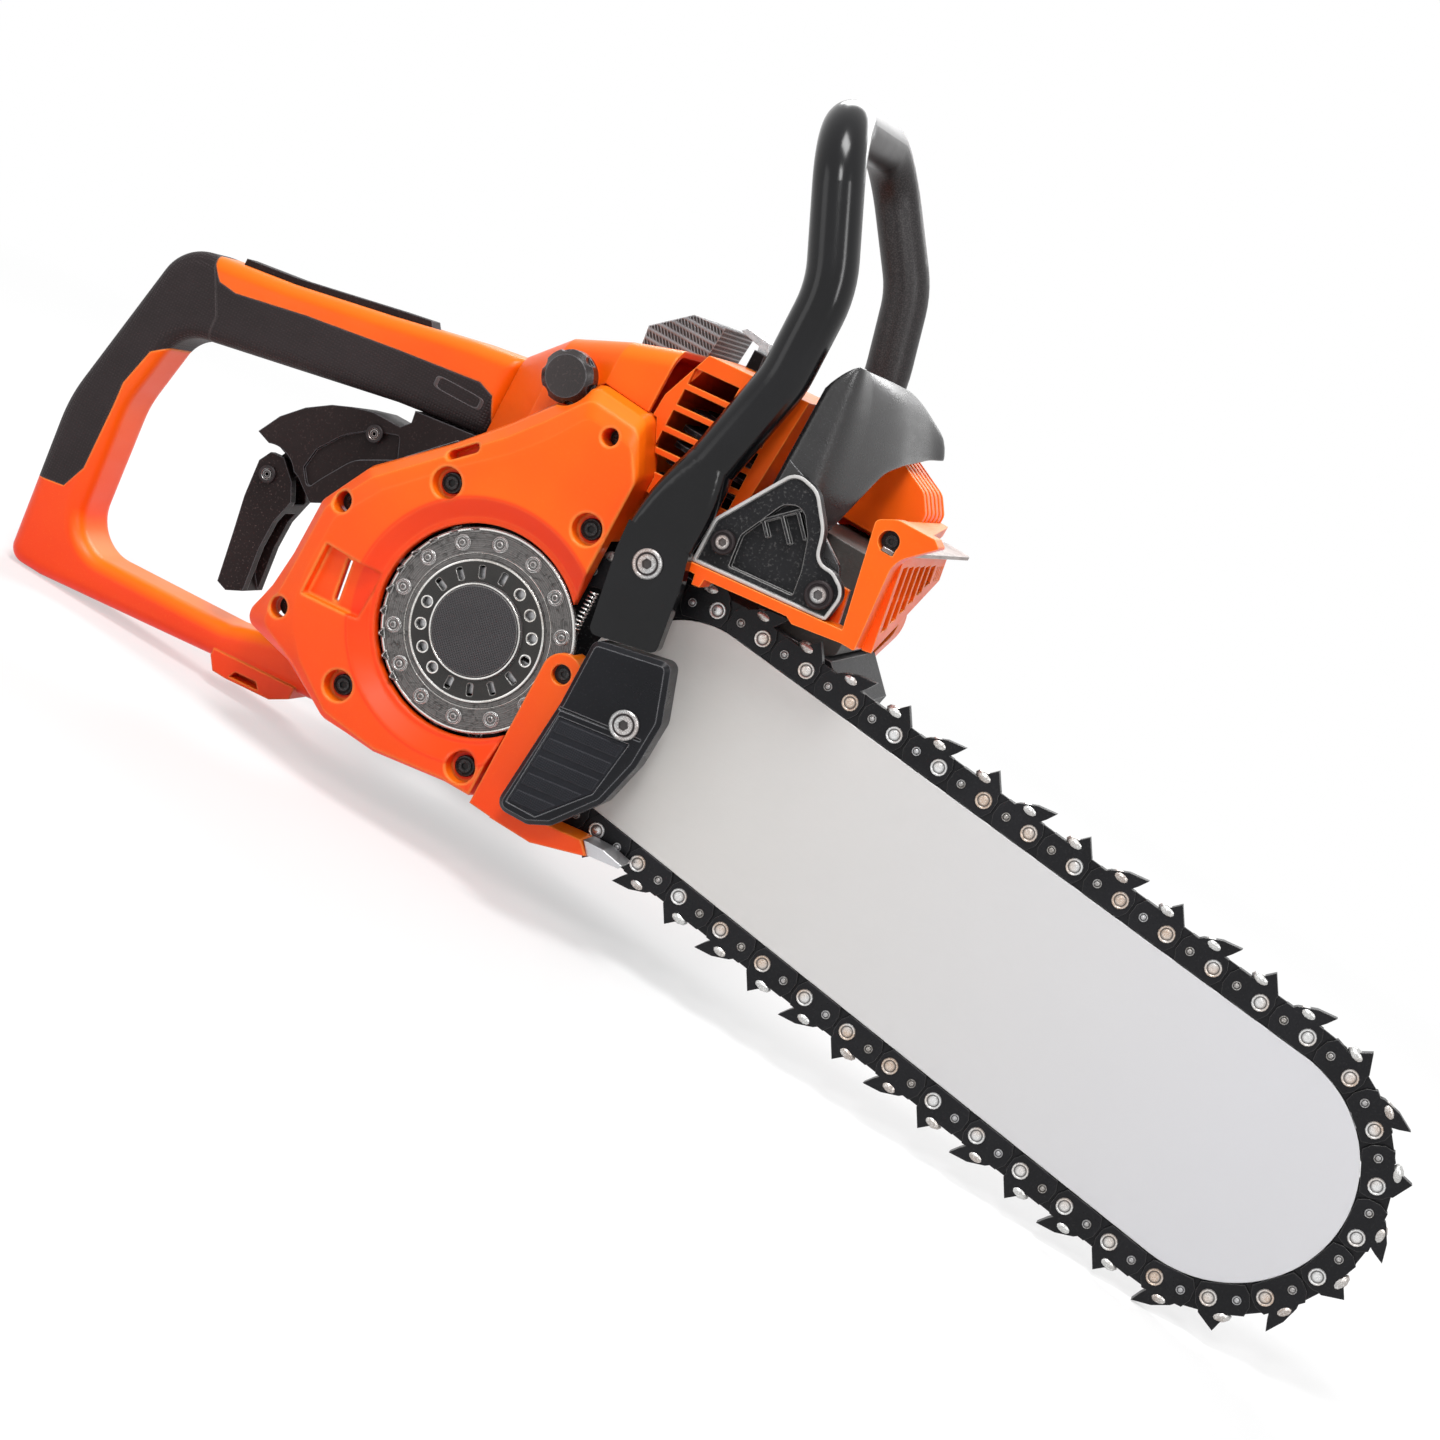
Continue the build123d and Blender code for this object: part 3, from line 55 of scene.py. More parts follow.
# Shading helpers: nodes written as arithmetic.
class Shade:
    # wraps one node output, so that arithmetic on it adds Math nodes

    def __init__(self, tree, out=None):
        self.tree, self.out = tree, out

    def node(self, kind, settings=None, inputs=None, pick=0):
        made = self.tree.nodes.new(kind)
        for key, value in (settings or {}).items():
            setattr(made, key, value)
        for key, value in (inputs or {}).items():
            if isinstance(value, Shade):
                self.tree.links.new(value.out, made.inputs[key])
            else:
                made.inputs[key].default_value = value
        return Shade(self.tree, made.outputs[pick])

    def math(self, operation, other=0.0, swap=False):
        pair = (other, self) if swap else (self, other)
        return self.node("ShaderNodeMath", {"operation": operation}, {0: pair[0], 1: pair[1]})

    def __add__(self, other): return self.math("ADD", other)
    def __radd__(self, other): return self.math("ADD", other)
    def __sub__(self, other): return self.math("SUBTRACT", other)
    def __rsub__(self, other): return self.math("SUBTRACT", other, True)
    def __mul__(self, other): return self.math("MULTIPLY", other)
    def __rmul__(self, other): return self.math("MULTIPLY", other)

    def to(self, low, high, newLow=0.0, newHigh=1.0):
        # straight-line remap, clamped at both ends
        ends = {"From Min": low, "From Max": high, "To Min": newLow, "To Max": newHigh}
        return self.node("ShaderNodeMapRange", {"clamp": True}, {"Value": self, **ends})

    def vector(self, operation, other=(0, 0, 0), pick=0):
        return self.node("ShaderNodeVectorMath", {"operation": operation}, {0: self, 1: other}, pick)

    def part(self, axis):
        # one coordinate of a vector
        return self.node("ShaderNodeSeparateXYZ", {}, {0: self}, axis)


def rgba(colour):
    return (*colour, 1.0)


def colourMix(factor, first, second):
    # the colour sockets of a Mix node share names with its number sockets, so they are found by place
    made = factor.tree.nodes.new("ShaderNodeMix")
    made.data_type = "RGBA"
    for place, value in ((0, factor), (6, first), (7, second)):
        if isinstance(value, Shade):
            factor.tree.links.new(value.out, made.inputs[place])
        else:
            made.inputs[place].default_value = rgba(value)
    return Shade(factor.tree, made.outputs[2])


def startMaterial(name, **fixed):
    # a new material with its Principled shader, the fixed values set on the shader's own sockets
    material = bpy.data.materials.new(name)
    material.use_nodes = True
    tree = material.node_tree
    shader = tree.nodes["Principled BSDF"]
    for key, value in fixed.items():
        shader.inputs[key.replace("_", " ")].default_value = value
    start = Shade(tree)
    return material, shader, start, start.node("ShaderNodeTexCoord", pick="Object")


def wire(shader, start, **links):
    for key, value in links.items():
        start.tree.links.new(value.out, shader.inputs[key.replace("_", " ")])


def noise(start, place, scale, detail=2.0, rough=0.5, warp=0.0):
    return start.node("ShaderNodeTexNoise", {}, {"Vector": place, "Scale": scale, "Detail": detail,
                                                  "Roughness": rough, "Distortion": warp})


def softEdges(start, radius):
    # normal of the same solid with its edges rounded, and a mask of where those edges are
    rounded = start.node("ShaderNodeBevel", {"samples": 6}, {"Radius": radius})
    plain = start.node("ShaderNodeNewGeometry", pick="Normal")
    return rounded, rounded.vector("DOT_PRODUCT", plain, pick="Value").to(0.995, 0.9)


def relief(start, height, strength, depth, normal):
    return start.node("ShaderNodeBump", {},
                      {"Height": height, "Strength": strength, "Distance": depth, "Normal": normal})


# Finishes, one function per kind of material.
def mouldedPlastic(name, look):
    # colour that drifts by cloud, painted shade low down and painted light on faces turned up, painted
    # highlight on edges, fine spark-eroded grain, handling marks in the gloss
    material, shader, start, place = startMaterial(
        name, Specular_IOR_Level=look.get("specular", 0.5), Coat_Roughness=look.get("coatRough", 0.15))
    shader.inputs["Coat Weight"].default_value = look.get("coat", 0.0)
    rounded, edge = softEdges(start, look["edge"])
    cloud = noise(start, place, look.get("cloud", 18), 3)
    speck = noise(start, place, look.get("speckScale", 900), 2)
    grain = noise(start, place, look["grain"], 2, 0.6)
    colour = colourMix(cloud.to(0.35, 0.65), look["colour"], look["drift"])
    if "low" in look:
        # painted shade: deeper lower down and on faces turned down; painted light: paler on faces turned up
        facing = rounded.vector("DOT_PRODUCT", (0.15, -0.3, 0.94), pick="Value")
        colour = colourMix(place.part("Z").to(look["lowTop"], look["lowFoot"], 0, 0.7), colour, look["low"])
        colour = colourMix(facing.to(0.15, -0.45, 0, 0.8), colour, look["low"])
        colour = colourMix(facing.to(0.45, 0.95, 0, 0.8), colour, look["high"])
    colour = colourMix(speck.to(0.6, 0.7, 0, look.get("speckShare", 0.12)), colour, look["speck"])
    # painted highlight along the edges, partly edge wear
    colour = colourMix(edge * look.get("edgeShare", 0.35), colour, look["wearAndHighlightColour"])
    smear = noise(start, place.vector("MULTIPLY", (1, 1, 4)), 30, 4, 0.6)
    rough = smear.to(0.3, 0.7, look["rough"] - 0.05, look["rough"] + 0.07)
    wire(shader, start, Base_Color=colour, Roughness=rough,
         Normal=relief(start, grain, look["relief"], 0.0004, rounded))
    return material


def boredPlastic(name, look, axis, rings):
    # moulded plastic with painted shade: a deeper red-orange over the funnel and band inside a radius round
    # an axis along Y
    material = mouldedPlastic(name, look)
    start = Shade(material.node_tree)
    shader = material.node_tree.nodes["Principled BSDF"]
    place = start.node("ShaderNodeTexCoord", pick="Object")
    radius = place.vector("SUBTRACT", axis).vector("MULTIPLY", (1, 0, 1)).vector("LENGTH", pick="Value")
    # painted shade: the deep colour covers everything inside the ring radius
    band = radius.to(rings[0], rings[0] + 0.0012, 1, 0)
    before = Shade(material.node_tree, shader.inputs["Base Color"].links[0].from_socket)
    wire(shader, start, Base_Color=colourMix(band * 0.75, before, look["deep"]))
    return material


def gripRubber(name, look):
    # rows of small dimples over a soft dark compound, dust left in the hollows
    material, shader, start, place = startMaterial(name, Specular_IOR_Level=0.18)
    rounded, edge = softEdges(start, look["edge"])
    cell = start.node("ShaderNodeTexVoronoi", {"feature": "F1"},
                      {"Vector": place, "Scale": look["scale"], "Randomness": 0.12})
    dimple = cell.to(0.1, 0.5)
    cloud = noise(start, place, 25, 3)
    colour = colourMix(cloud.to(0.3, 0.7), look["colour"], look["drift"])
    colour = colourMix((1 - dimple) * look.get("dustShare", 0.3), colour, look["dust"])
    # lighter edges: painted highlight, partly edge wear
    colour = colourMix(edge * 0.5, colour, look["wearAndHighlightColour"])
    rough = cloud.to(0.3, 0.7, look["rough"] - 0.06, look["rough"] + 0.06)
    wire(shader, start, Base_Color=colour, Roughness=rough,
         Normal=relief(start, dimple, look["relief"], 0.0005, rounded))
    return material


def coatedTube(name, look):
    # black coating, with a rubber sleeve past a narrow seam
    material, shader, start, place = startMaterial(name, Specular_IOR_Level=0.32)
    across = place.part("Y")
    sleeve = across.to(look["seam"], look["seam"] + 0.0003)
    seam = 1 - (across - look["seam"]).math("ABSOLUTE").to(0.0003, 0.0008)
    cloud = noise(start, place, 20, 3)
    grain = noise(start, place, 420, 3, 0.6)
    fine = noise(start, place, 1300, 2)
    colour = colourMix(cloud.to(0.35, 0.65), look["colour"], look["drift"])
    sleeveColour = colourMix(fine.to(0.45, 0.62), look["sleeve"], look["sleeveSpeck"])
    colour = colourMix(seam, colourMix(sleeve, colour, sleeveColour), (0.002, 0.002, 0.002))
    rough = sleeve.to(0, 1, look["rough"], look["sleeveRough"]) + cloud.to(0.3, 0.7, -0.03, 0.05)
    height = grain * 0.3 - seam * 2 + fine * sleeve * 0.5
    plain = start.node("ShaderNodeNewGeometry", pick="Normal")
    wire(shader, start, Base_Color=colour, Roughness=rough, Normal=relief(start, height, 0.12, 0.0004, plain))
    return material


def castMetal(name, look):
    # sand-cast skin: coarse pits, darker hollows, brighter edges that are partly rubbed wear and partly
    # painted highlight
    material, shader, start, place = startMaterial(name, Specular_IOR_Level=look.get("specular", 0.5))
    rounded, edge = softEdges(start, look["edge"])
    pits = noise(start, place, look["grain"], 4, 0.65)
    cloud = noise(start, place, 22, 4)
    colour = colourMix(cloud.to(0.3, 0.7), look["colour"], look["drift"])
    colour = colourMix(pits.to(0.55, 0.7, 0, look.get("speckShare", 0.2)), colour, look["wearAndHighlightColour"])
    bright = edge * look.get("edgeShare", 0.6)
    if "face" in look:
        # the machined face in front of a plane is left bare
        bright = bright.math("MAXIMUM", place.part("Y").to(look["face"], look["face"] - 0.0002))
    colour = colourMix(bright, colour, look["wearAndHighlightColour"])
    rough = pits.to(0.3, 0.7, look["rough"] - 0.08, look["rough"] + 0.08)
    metal = bright.to(0, 1, look["metal"], min(1.0, look["metal"] + 0.2))
    wire(shader, start, Base_Color=colour, Roughness=rough, Metallic=metal,
         Normal=relief(start, pits, look["relief"], 0.0005, rounded))
    return material


def turnedMetal(name, look):
    # lathe rings about the drive axis, or straight brushing where no axis is given
    material, shader, start, place = startMaterial(name)
    rounded, edge = softEdges(start, look["edge"])
    if "axis" in look:
        arm = place.vector("SUBTRACT", look["axis"]).vector("MULTIPLY", (1, 0, 1))
        reach = arm.vector("LENGTH", pick="Value") * look["rings"]
        lines = start.node("ShaderNodeTexNoise", {"noise_dimensions": "1D"},
                           {"W": reach, "Scale": 1.0, "Detail": 3.0})
    else:
        lines = noise(start, place.vector("MULTIPLY", look["brush"]), look["rings"], 3, 0.6)
    cloud = noise(start, place, look.get("cloud", 40), 4, 0.6, look.get("warp", 0.0))
    colour = colourMix(lines.to(0.3, 0.7), look["colour"], look["drift"])
    colour = colourMix(cloud.to(0.5, 0.68, 0, look.get("stain", 0.3)), colour, look["stainColour"])
    if "nose" in look:
        colour = colourMix(place.part("X").to(0.0, 0.32, 0, 0.8), colour, look["nose"])
    # painted highlight along the edges, partly edge wear
    colour = colourMix(edge * look.get("edgeShare", 0.5), colour, look["wearAndHighlightColour"])
    rough = lines.to(0.3, 0.7, look["rough"] - 0.06, look["rough"] + 0.08) + cloud.to(0.4, 0.7, 0, 0.1)
    metal = cloud.to(0.4, 0.8, look["metal"], look["metal"] - 0.08)
    wire(shader, start, Base_Color=colour, Roughness=rough, Metallic=metal,
         Normal=relief(start, lines + cloud * look.get("hammer", 0.0), look["relief"], 0.0002, rounded))
    return material


def wovenScreen(name, look):
    # two sets of crossing wires with dark holes between, across two chosen directions
    material, shader, start, place = startMaterial(name)
    rounded, edge = softEdges(start, look["edge"])
    first, second = (
        (place.vector("DOT_PRODUCT", look[way], pick="Value") * look["wires"]).math("SINE").to(-0.2, 0.9)
        for way in ("along", "across"))
    net = first.math("MAXIMUM", second)
    cloud = noise(start, place, 60, 3)
    colour = colourMix(net, look["hole"], look["colour"])
    colour = colourMix(cloud.to(0.4, 0.7, 0, 0.3), colour, look["hole"])
    # painted highlight along the edges, partly edge wear
    colour = colourMix(edge * 0.7, colour, look["wearAndHighlightColour"])
    rough = net.to(0, 1, 0.8, look["rough"])
    wire(shader, start, Base_Color=colour, Roughness=rough, Metallic=net * look["metal"],
         Normal=relief(start, net, look["relief"], 0.0005, rounded))
    return material


def ringedSteel(name, look):
    # turned head: rows marked by the band attribute take the dark groove colour, painted shade where they are
    # sockets and grooves; tint changes from one head to the next
    material, shader, start, place = startMaterial(name)
    band = start.node("ShaderNodeAttribute", {"attribute_name": "band"}, pick="Fac")
    tint = noise(start, place, 45, 1)
    scratch = noise(start, place, 1600, 3, 0.6)
    colour = colourMix(tint.to(0.42, 0.6), look["colour"], look["tint"])
    colour = colourMix(scratch.to(0.5, 0.66, 0, 0.55), colour, look["scratch"])
    colour = colourMix(band, colour, look["groove"])
    rough = scratch.to(0.3, 0.7, look["rough"] - 0.08, look["rough"] + 0.12) + band * 0.3
    plain = start.node("ShaderNodeNewGeometry", pick="Normal")
    wire(shader, start, Base_Color=colour, Roughness=rough, Metallic=band.to(0, 1, look["metal"], 0.3),
         Normal=relief(start, scratch, 0.35, 0.0002, plain))
    return material


def mm(*values):
    # millimetres to metres
    return tuple(value / 1000 for value in values)


low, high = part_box("clutch_cap")
driveAxis = ((low[0] + high[0]) / 2, 0.0, (low[2] + high[2]) / 2)
capFace = low[1]
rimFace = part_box("brake_casting")[0][1] + 0.0010

# low and deep are painted shade colours and high a painted light colour; the top and foot heights bound where
# the lower painted shade fades in
orangeLook = {
    "colour": (0.95, 0.13, 0.0015), "drift": (0.94, 0.09, 0.001), "low": (0.84, 0.028, 0.0008),
    "high": (1.0, 0.23, 0.006), "deep": (0.86, 0.032, 0.001), "lowTop": 0.17, "lowFoot": 0.02,
    "speck": (1.0, 0.28, 0.03), "speckShare": 0.06, "wearAndHighlightColour": (1.0, 0.42, 0.09), "rough": 0.33,
    "grain": 500, "relief": 0.04, "edge": 0.0018, "specular": 0.28, "cloud": 9}
blackLook = {
    "colour": (0.003, 0.003, 0.0035), "drift": (0.006, 0.006, 0.007), "speck": (0.04, 0.04, 0.045),
    "speckShare": 0.2, "wearAndHighlightColour": (0.2, 0.2, 0.215), "edgeShare": 0.6, "rough": 0.36, "grain": 700,
    "relief": 0.12, "edge": 0.0009, "specular": 0.1}
brownLook = {**blackLook, "colour": (0.015, 0.01, 0.01), "drift": (0.024, 0.016, 0.016),
             "speck": (0.12, 0.08, 0.075), "rough": 0.42}
darkCasting = {
    "colour": (0.009, 0.009, 0.01), "drift": (0.018, 0.018, 0.02), "wearAndHighlightColour": (0.42, 0.42, 0.43),
    "rough": 0.5, "metal": 0.4, "grain": 600, "relief": 0.4, "edge": 0.0009, "specular": 0.2}
steelLook = {
    "colour": (0.42, 0.42, 0.43), "drift": (0.62, 0.62, 0.63), "stainColour": (0.25, 0.23, 0.22),
    "wearAndHighlightColour": (0.85, 0.85, 0.86), "rough": 0.28, "metal": 0.9, "brush": (1, 4, 1), "rings": 700,
    "relief": 0.1, "edge": 0.0005}
finishes = {
    "orange_shell": mouldedPlastic("orangeShell", orangeLook),
    "orange_parts": mouldedPlastic("orangeParts", {
        **orangeLook, "rough": 0.34, "edge": 0.0009, "edgeShare": 0.6, "lowTop": 0.24, "lowFoot": 0.1}),
    "black_grip": gripRubber("blackGrip", {
        "colour": (0.017, 0.012, 0.0125), "drift": (0.026, 0.019, 0.02), "dust": (0.08, 0.06, 0.06),
        "wearAndHighlightColour": (0.12, 0.1, 0.1), "rough": 0.5, "scale": 620, "relief": 0.6, "edge": 0.0018}),
    "black_plastic": mouldedPlastic("blackPlastic", blackLook),
    "black_coated_tube": coatedTube("coatedTube", {
        "colour": (0.002, 0.002, 0.0025), "drift": (0.004, 0.004, 0.005), "rough": 0.17,
        "sleeve": (0.009, 0.0075, 0.008), "sleeveSpeck": (0.03, 0.026, 0.027), "sleeveRough": 0.4,
        "seam": -0.052}),
    "dark_casting": castMetal("darkCasting", darkCasting),
    "bare_aluminium": castMetal("bareAluminium", {
        "colour": (0.45, 0.45, 0.47), "drift": (0.6, 0.6, 0.62), "wearAndHighlightColour": (0.8, 0.8, 0.82),
        "rough": 0.35, "metal": 0.9, "grain": 500, "relief": 0.2, "edge": 0.0008}),
    "bar_steel": turnedMetal("barSteel", {
        "colour": (0.565, 0.55, 0.53), "drift": (0.58, 0.565, 0.545), "stainColour": (0.54, 0.53, 0.51),
        "nose": (0.59, 0.59, 0.62), "wearAndHighlightColour": (0.82, 0.82, 0.82), "rough": 0.45, "metal": 0.15,
        "brush": (6, 1, 160), "rings": 20, "stain": 0.25, "relief": 0.04, "edge": 0.0008}),
    "chain_black": castMetal("chainBlack", {
        "colour": (0.004, 0.004, 0.005), "drift": (0.009, 0.009, 0.011), "wearAndHighlightColour": (0.33, 0.32, 0.31),
        "rough": 0.34, "metal": 0.2, "specular": 0.25, "grain": 900, "relief": 0.25, "edge": 0.0005,
        "edgeShare": 0.22, "speckShare": 0.03}),
    "rivet_steel": castMetal("rivetSteel", {
        "colour": (0.62, 0.6, 0.57), "drift": (0.8, 0.78, 0.75), "wearAndHighlightColour": (0.9, 0.89, 0.87),
        "rough": 0.28, "metal": 0.9, "grain": 700, "relief": 0.25, "edge": 0.0006}),
    "steel": turnedMetal("machinedSteel", steelLook),
    "drum_steel": turnedMetal("drumSteel", {
        "colour": (0.018, 0.017, 0.016), "drift": (0.05, 0.048, 0.046), "stainColour": (0.009, 0.009, 0.009),
        "wearAndHighlightColour": (0.6, 0.59, 0.57), "edgeShare": 0.7, "rough": 0.3, "metal": 0.6, "axis": driveAxis,
        "rings": 9000, "relief": 0.15, "edge": 0.0007}),
    "iron": castMetal("castIron", {
        "colour": (0.05, 0.048, 0.045), "drift": (0.09, 0.085, 0.08), "wearAndHighlightColour": (0.2, 0.19, 0.18),
        "rough": 0.6, "metal": 0.6, "grain": 400, "relief": 0.4, "edge": 0.001}),
    "filter_mesh": wovenScreen("filterMesh", {
        "colour": (0.24, 0.24, 0.25), "hole": (0.015, 0.015, 0.015), "wearAndHighlightColour": (0.6, 0.6, 0.62),
        "rough": 0.4, "metal": 0.5, "wires": 3900, "relief": 0.9, "edge": 0.0012,
        "along": (0.8, 0.0, 0.6), "across": (0.0, 1.0, 0.35)}),
    "red_rubber": gripRubber("bufferRubber", {
        "colour": (0.02, 0.02, 0.02), "drift": (0.03, 0.03, 0.03), "dust": (0.06, 0.06, 0.06),
        "wearAndHighlightColour": (0.06, 0.06, 0.06), "rough": 0.7, "scale": 1400, "relief": 0.2, "edge": 0.001}),
    "white_insulator": mouldedPlastic("glazedInsulator", {
        "colour": (0.8, 0.8, 0.78), "drift": (0.76, 0.76, 0.74), "speck": (0.6, 0.6, 0.58),
        "wearAndHighlightColour": (0.85, 0.85, 0.85), "rough": 0.15, "grain": 200, "relief": 0.02, "edge": 0.0006}),
}
ownFinish = {
    "clutch_cover": boredPlastic("orangeCover", {**orangeLook, "edge": 0.0032, "edgeShare": 0.5},
                                 driveAxis, mm(66.5)),
    "clutch_cap": wovenScreen("capScreen", {
        "colour": (0.05, 0.047, 0.05), "hole": (0.018, 0.017, 0.019), "wearAndHighlightColour": (0.5, 0.49, 0.47),
        "rough": 0.45, "metal": 0.3, "wires": 5200, "relief": 0.5, "edge": 0.0006,
        "along": (0.707, 0.0, 0.707), "across": (0.707, 0.0, -0.707)}),
    "sprocket_flange": turnedMetal("flangeSteel", {
        "colour": (0.055, 0.051, 0.049), "drift": (0.2, 0.19, 0.185), "stainColour": (0.014, 0.013, 0.012),
        "wearAndHighlightColour": (0.92, 0.91, 0.9), "edgeShare": 0.85, "rough": 0.2, "metal": 0.55,
        "axis": driveAxis, "rings": 2500, "cloud": 240, "warp": 2.2, "stain": 0.8, "hammer": 3.0,
        "relief": 0.5, "edge": 0.0007}),
    "brake_casting": castMetal("speckledCasting", {
        **darkCasting, "wearAndHighlightColour": (0.5, 0.49, 0.48), "speckShare": 0.12, "metal": 0.35, "relief": 0.5,
        "face": rimFace}),
    "hand_guard": mouldedPlastic("guardPlastic", {
        **blackLook, "colour": (0.007, 0.0065, 0.007), "drift": (0.011, 0.0105, 0.011), "speckShare": 0.6,
        "speckScale": 1100, "grain": 1000, "relief": 0.3, "rough": 0.27, "edge": 0.0009, "specular": 0.65}),
    "guard_block": mouldedPlastic("blockPlastic", {
        **blackLook, "colour": (0.003, 0.0033, 0.005), "drift": (0.006, 0.0065, 0.009), "rough": 0.3,
        "wearAndHighlightColour": (0.4, 0.4, 0.42), "specular": 0.2}),
    "guard_pad": gripRubber("blockPad", {
        "colour": (0.008, 0.0085, 0.012), "drift": (0.013, 0.014, 0.018), "dust": (0.04, 0.042, 0.05),
        "wearAndHighlightColour": (0.06, 0.06, 0.07), "rough": 0.42, "scale": 900, "relief": 0.4, "edge": 0.0009}),
    "trigger_bracket": mouldedPlastic("bracketPlastic", brownLook),
    "throttle_trigger": mouldedPlastic("triggerPlastic", {**brownLook, "speckShare": 0.6, "edgeShare": 0.7}),
    "throttle_lockout": mouldedPlastic("lockoutPlastic", brownLook),
    "filter_knob": mouldedPlastic("knobPlastic", {**brownLook, "rough": 0.22, "specular": 0.5}),
    "deflector": turnedMetal("shieldSteel", {
        **steelLook, "colour": (0.2, 0.15, 0.13), "drift": (0.4, 0.35, 0.33), "stain": 0.6,
        "stainColour": (0.1, 0.04, 0.03)}),
}
slotOf = {entry["node"]: entry["material_slot"] for entry in frame["record"]["subparts"]}
for name, piece in nodes.items():
    piece.data.materials.clear()
    piece.data.materials.append(ownFinish.get(name) or finishes[slotOf[name]])
print("finishes given to", len(nodes), "nodes")


# Surfaces made on grids of points.
def islands(name):
    # lowest and highest corner of each separate solid of a CAD node: vertices joined by edges take the
    # smallest number among them until nothing changes
    mesh = nodes[name].data
    spots = np.empty(len(mesh.vertices) * 3)
    mesh.vertices.foreach_get("co", spots)
    ends = np.empty(len(mesh.edges) * 2, dtype=np.int64)
    mesh.edges.foreach_get("vertices", ends)
    spots = spots.reshape(-1, 3)
    _, same = np.unique(np.round(spots * 1e6).astype(np.int64), axis=0, return_inverse=True)
    same = same.reshape(-1)
    ends = same[ends].reshape(-1, 2)
    group = np.arange(same.max() + 1)
    while True:
        smallest = np.minimum(group[ends[:, 0]], group[ends[:, 1]])
        before = group.copy()
        np.minimum.at(group, ends[:, 0], smallest)
        np.minimum.at(group, ends[:, 1], smallest)
        group = group[group]
        if (group == before).all():
            break
    _, label = np.unique(group[same], return_inverse=True)
    label = label.reshape(-1)
    lowest = np.full((label.max() + 1, 3), np.inf)
    highest = -lowest
    np.minimum.at(lowest, label, spots)
    np.maximum.at(highest, label, spots)
    return lowest, highest


def surfacePiece(name, grids, body, material, wrapRows=False, bands=None, replaced=(), sharp=35):
    # grids[copy, row, side] are points; neighbours in row and side make quads, and sides close on themselves
    copies, rows, sides = grids.shape[:3]
    index = np.arange(copies * rows * sides).reshape(copies, rows, sides)
    index = np.concatenate([index, index[:, :, :1]], 2)
    if wrapRows:
        index = np.concatenate([index, index[:, :1]], 1)
    quads = np.stack([index[:, :-1, :-1], index[:, 1:, :-1], index[:, 1:, 1:], index[:, :-1, 1:]], -1)
    mesh = bpy.data.meshes.new(name)
    mesh.from_pydata(grids.reshape(-1, 3).tolist(), [], quads.reshape(-1, 4).tolist())
    if bands is not None:
        marks = np.broadcast_to(np.asarray(bands, dtype=float)[None, :, None], (copies, rows, sides))
        mesh.attributes.new("band", "FLOAT", "POINT").data.foreach_set("value", marks.ravel().copy())
    work = bmesh.new()
    work.from_mesh(mesh)
    bmesh.ops.remove_doubles(work, verts=work.verts, dist=1e-6)
    bmesh.ops.recalc_face_normals(work, faces=work.faces)
    work.to_mesh(mesh)
    work.free()
    mesh.shade_smooth()
    mesh.set_sharp_from_angle(angle=math.radians(sharp))
    mesh.materials.append(material)
    piece = bpy.data.objects.new(name, mesh)
    scene.collection.objects.link(piece)
    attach(piece, body)
    if replaced:
        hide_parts(*replaced)
    return piece


def lathe(centres, profile, sides, corners=None):
    # x = centre x + r cos t, z = centre z + r sin t, y from the profile; rows named in corners are drawn
    # in to a hexagon, whose radius is r cos 30 / cos(t folded to 30 degrees)
    t = np.linspace(0, 2 * np.pi, sides, endpoint=False)
    centres, profile = np.atleast_2d(centres), np.asarray(profile, dtype=float)
    if profile.ndim == 2:
        profile = np.broadcast_to(profile, (len(centres), *profile.shape))
    r = np.repeat(profile[:, :, :1], sides, 2)
    if corners:
        hexagon = math.cos(math.pi / 6) / np.cos(np.mod(t, math.pi / 3) - math.pi / 6)
        r[:, corners] = r[:, corners] * hexagon
    x = centres[:, 0, None, None] + r * np.cos(t)
    z = centres[:, 1, None, None] + r * np.sin(t)
    return np.stack([x, np.broadcast_to(profile[:, :, 1:], x.shape), z], -1)


def tube(path, normals, radius, sides):
    # round a path: point + radius (normal cos t + binormal sin t), the binormal square to path and normal
    t = np.linspace(0, 2 * np.pi, sides, endpoint=False)
    along = np.gradient(path, axis=0)
    along /= np.linalg.norm(along, axis=1, keepdims=True)
    normals = normals - along * (normals * along).sum(1, keepdims=True)
    normals /= np.linalg.norm(normals, axis=1, keepdims=True)
    side = np.cross(along, normals)
    ring = normals[:, None] * np.cos(t)[None, :, None] + side[:, None] * np.sin(t)[None, :, None]
    radius = np.broadcast_to(np.asarray(radius, dtype=float), (len(path),))
    return (path[:, None] + ring * radius[:, None, None])[None]


# Chain fittings: rivet heads and worn teeth.

rivetLook = {"sides": 14, "smallBelow": 0.0034, "metal": 0.85}
chipLook = {"long": 0.0052, "high": 0.0030, "proud": 0.0010, "share": 0.45, "lift": 0.0090}
headSteel = ringedSteel("ringedRivet", {
    "colour": (0.66, 0.66, 0.66), "tint": (0.55, 0.42, 0.33), "scratch": (0.95, 0.94, 0.92),
    "groove": (0.03, 0.028, 0.027), "rough": 0.22, "metal": rivetLook["metal"]})
smallSteel = ringedSteel("smallRivet", {
    "colour": (0.36, 0.36, 0.37), "tint": (0.24, 0.22, 0.2), "scratch": (0.85, 0.85, 0.85),
    "groove": (0.006, 0.006, 0.006), "rough": 0.3, "metal": 0.6})


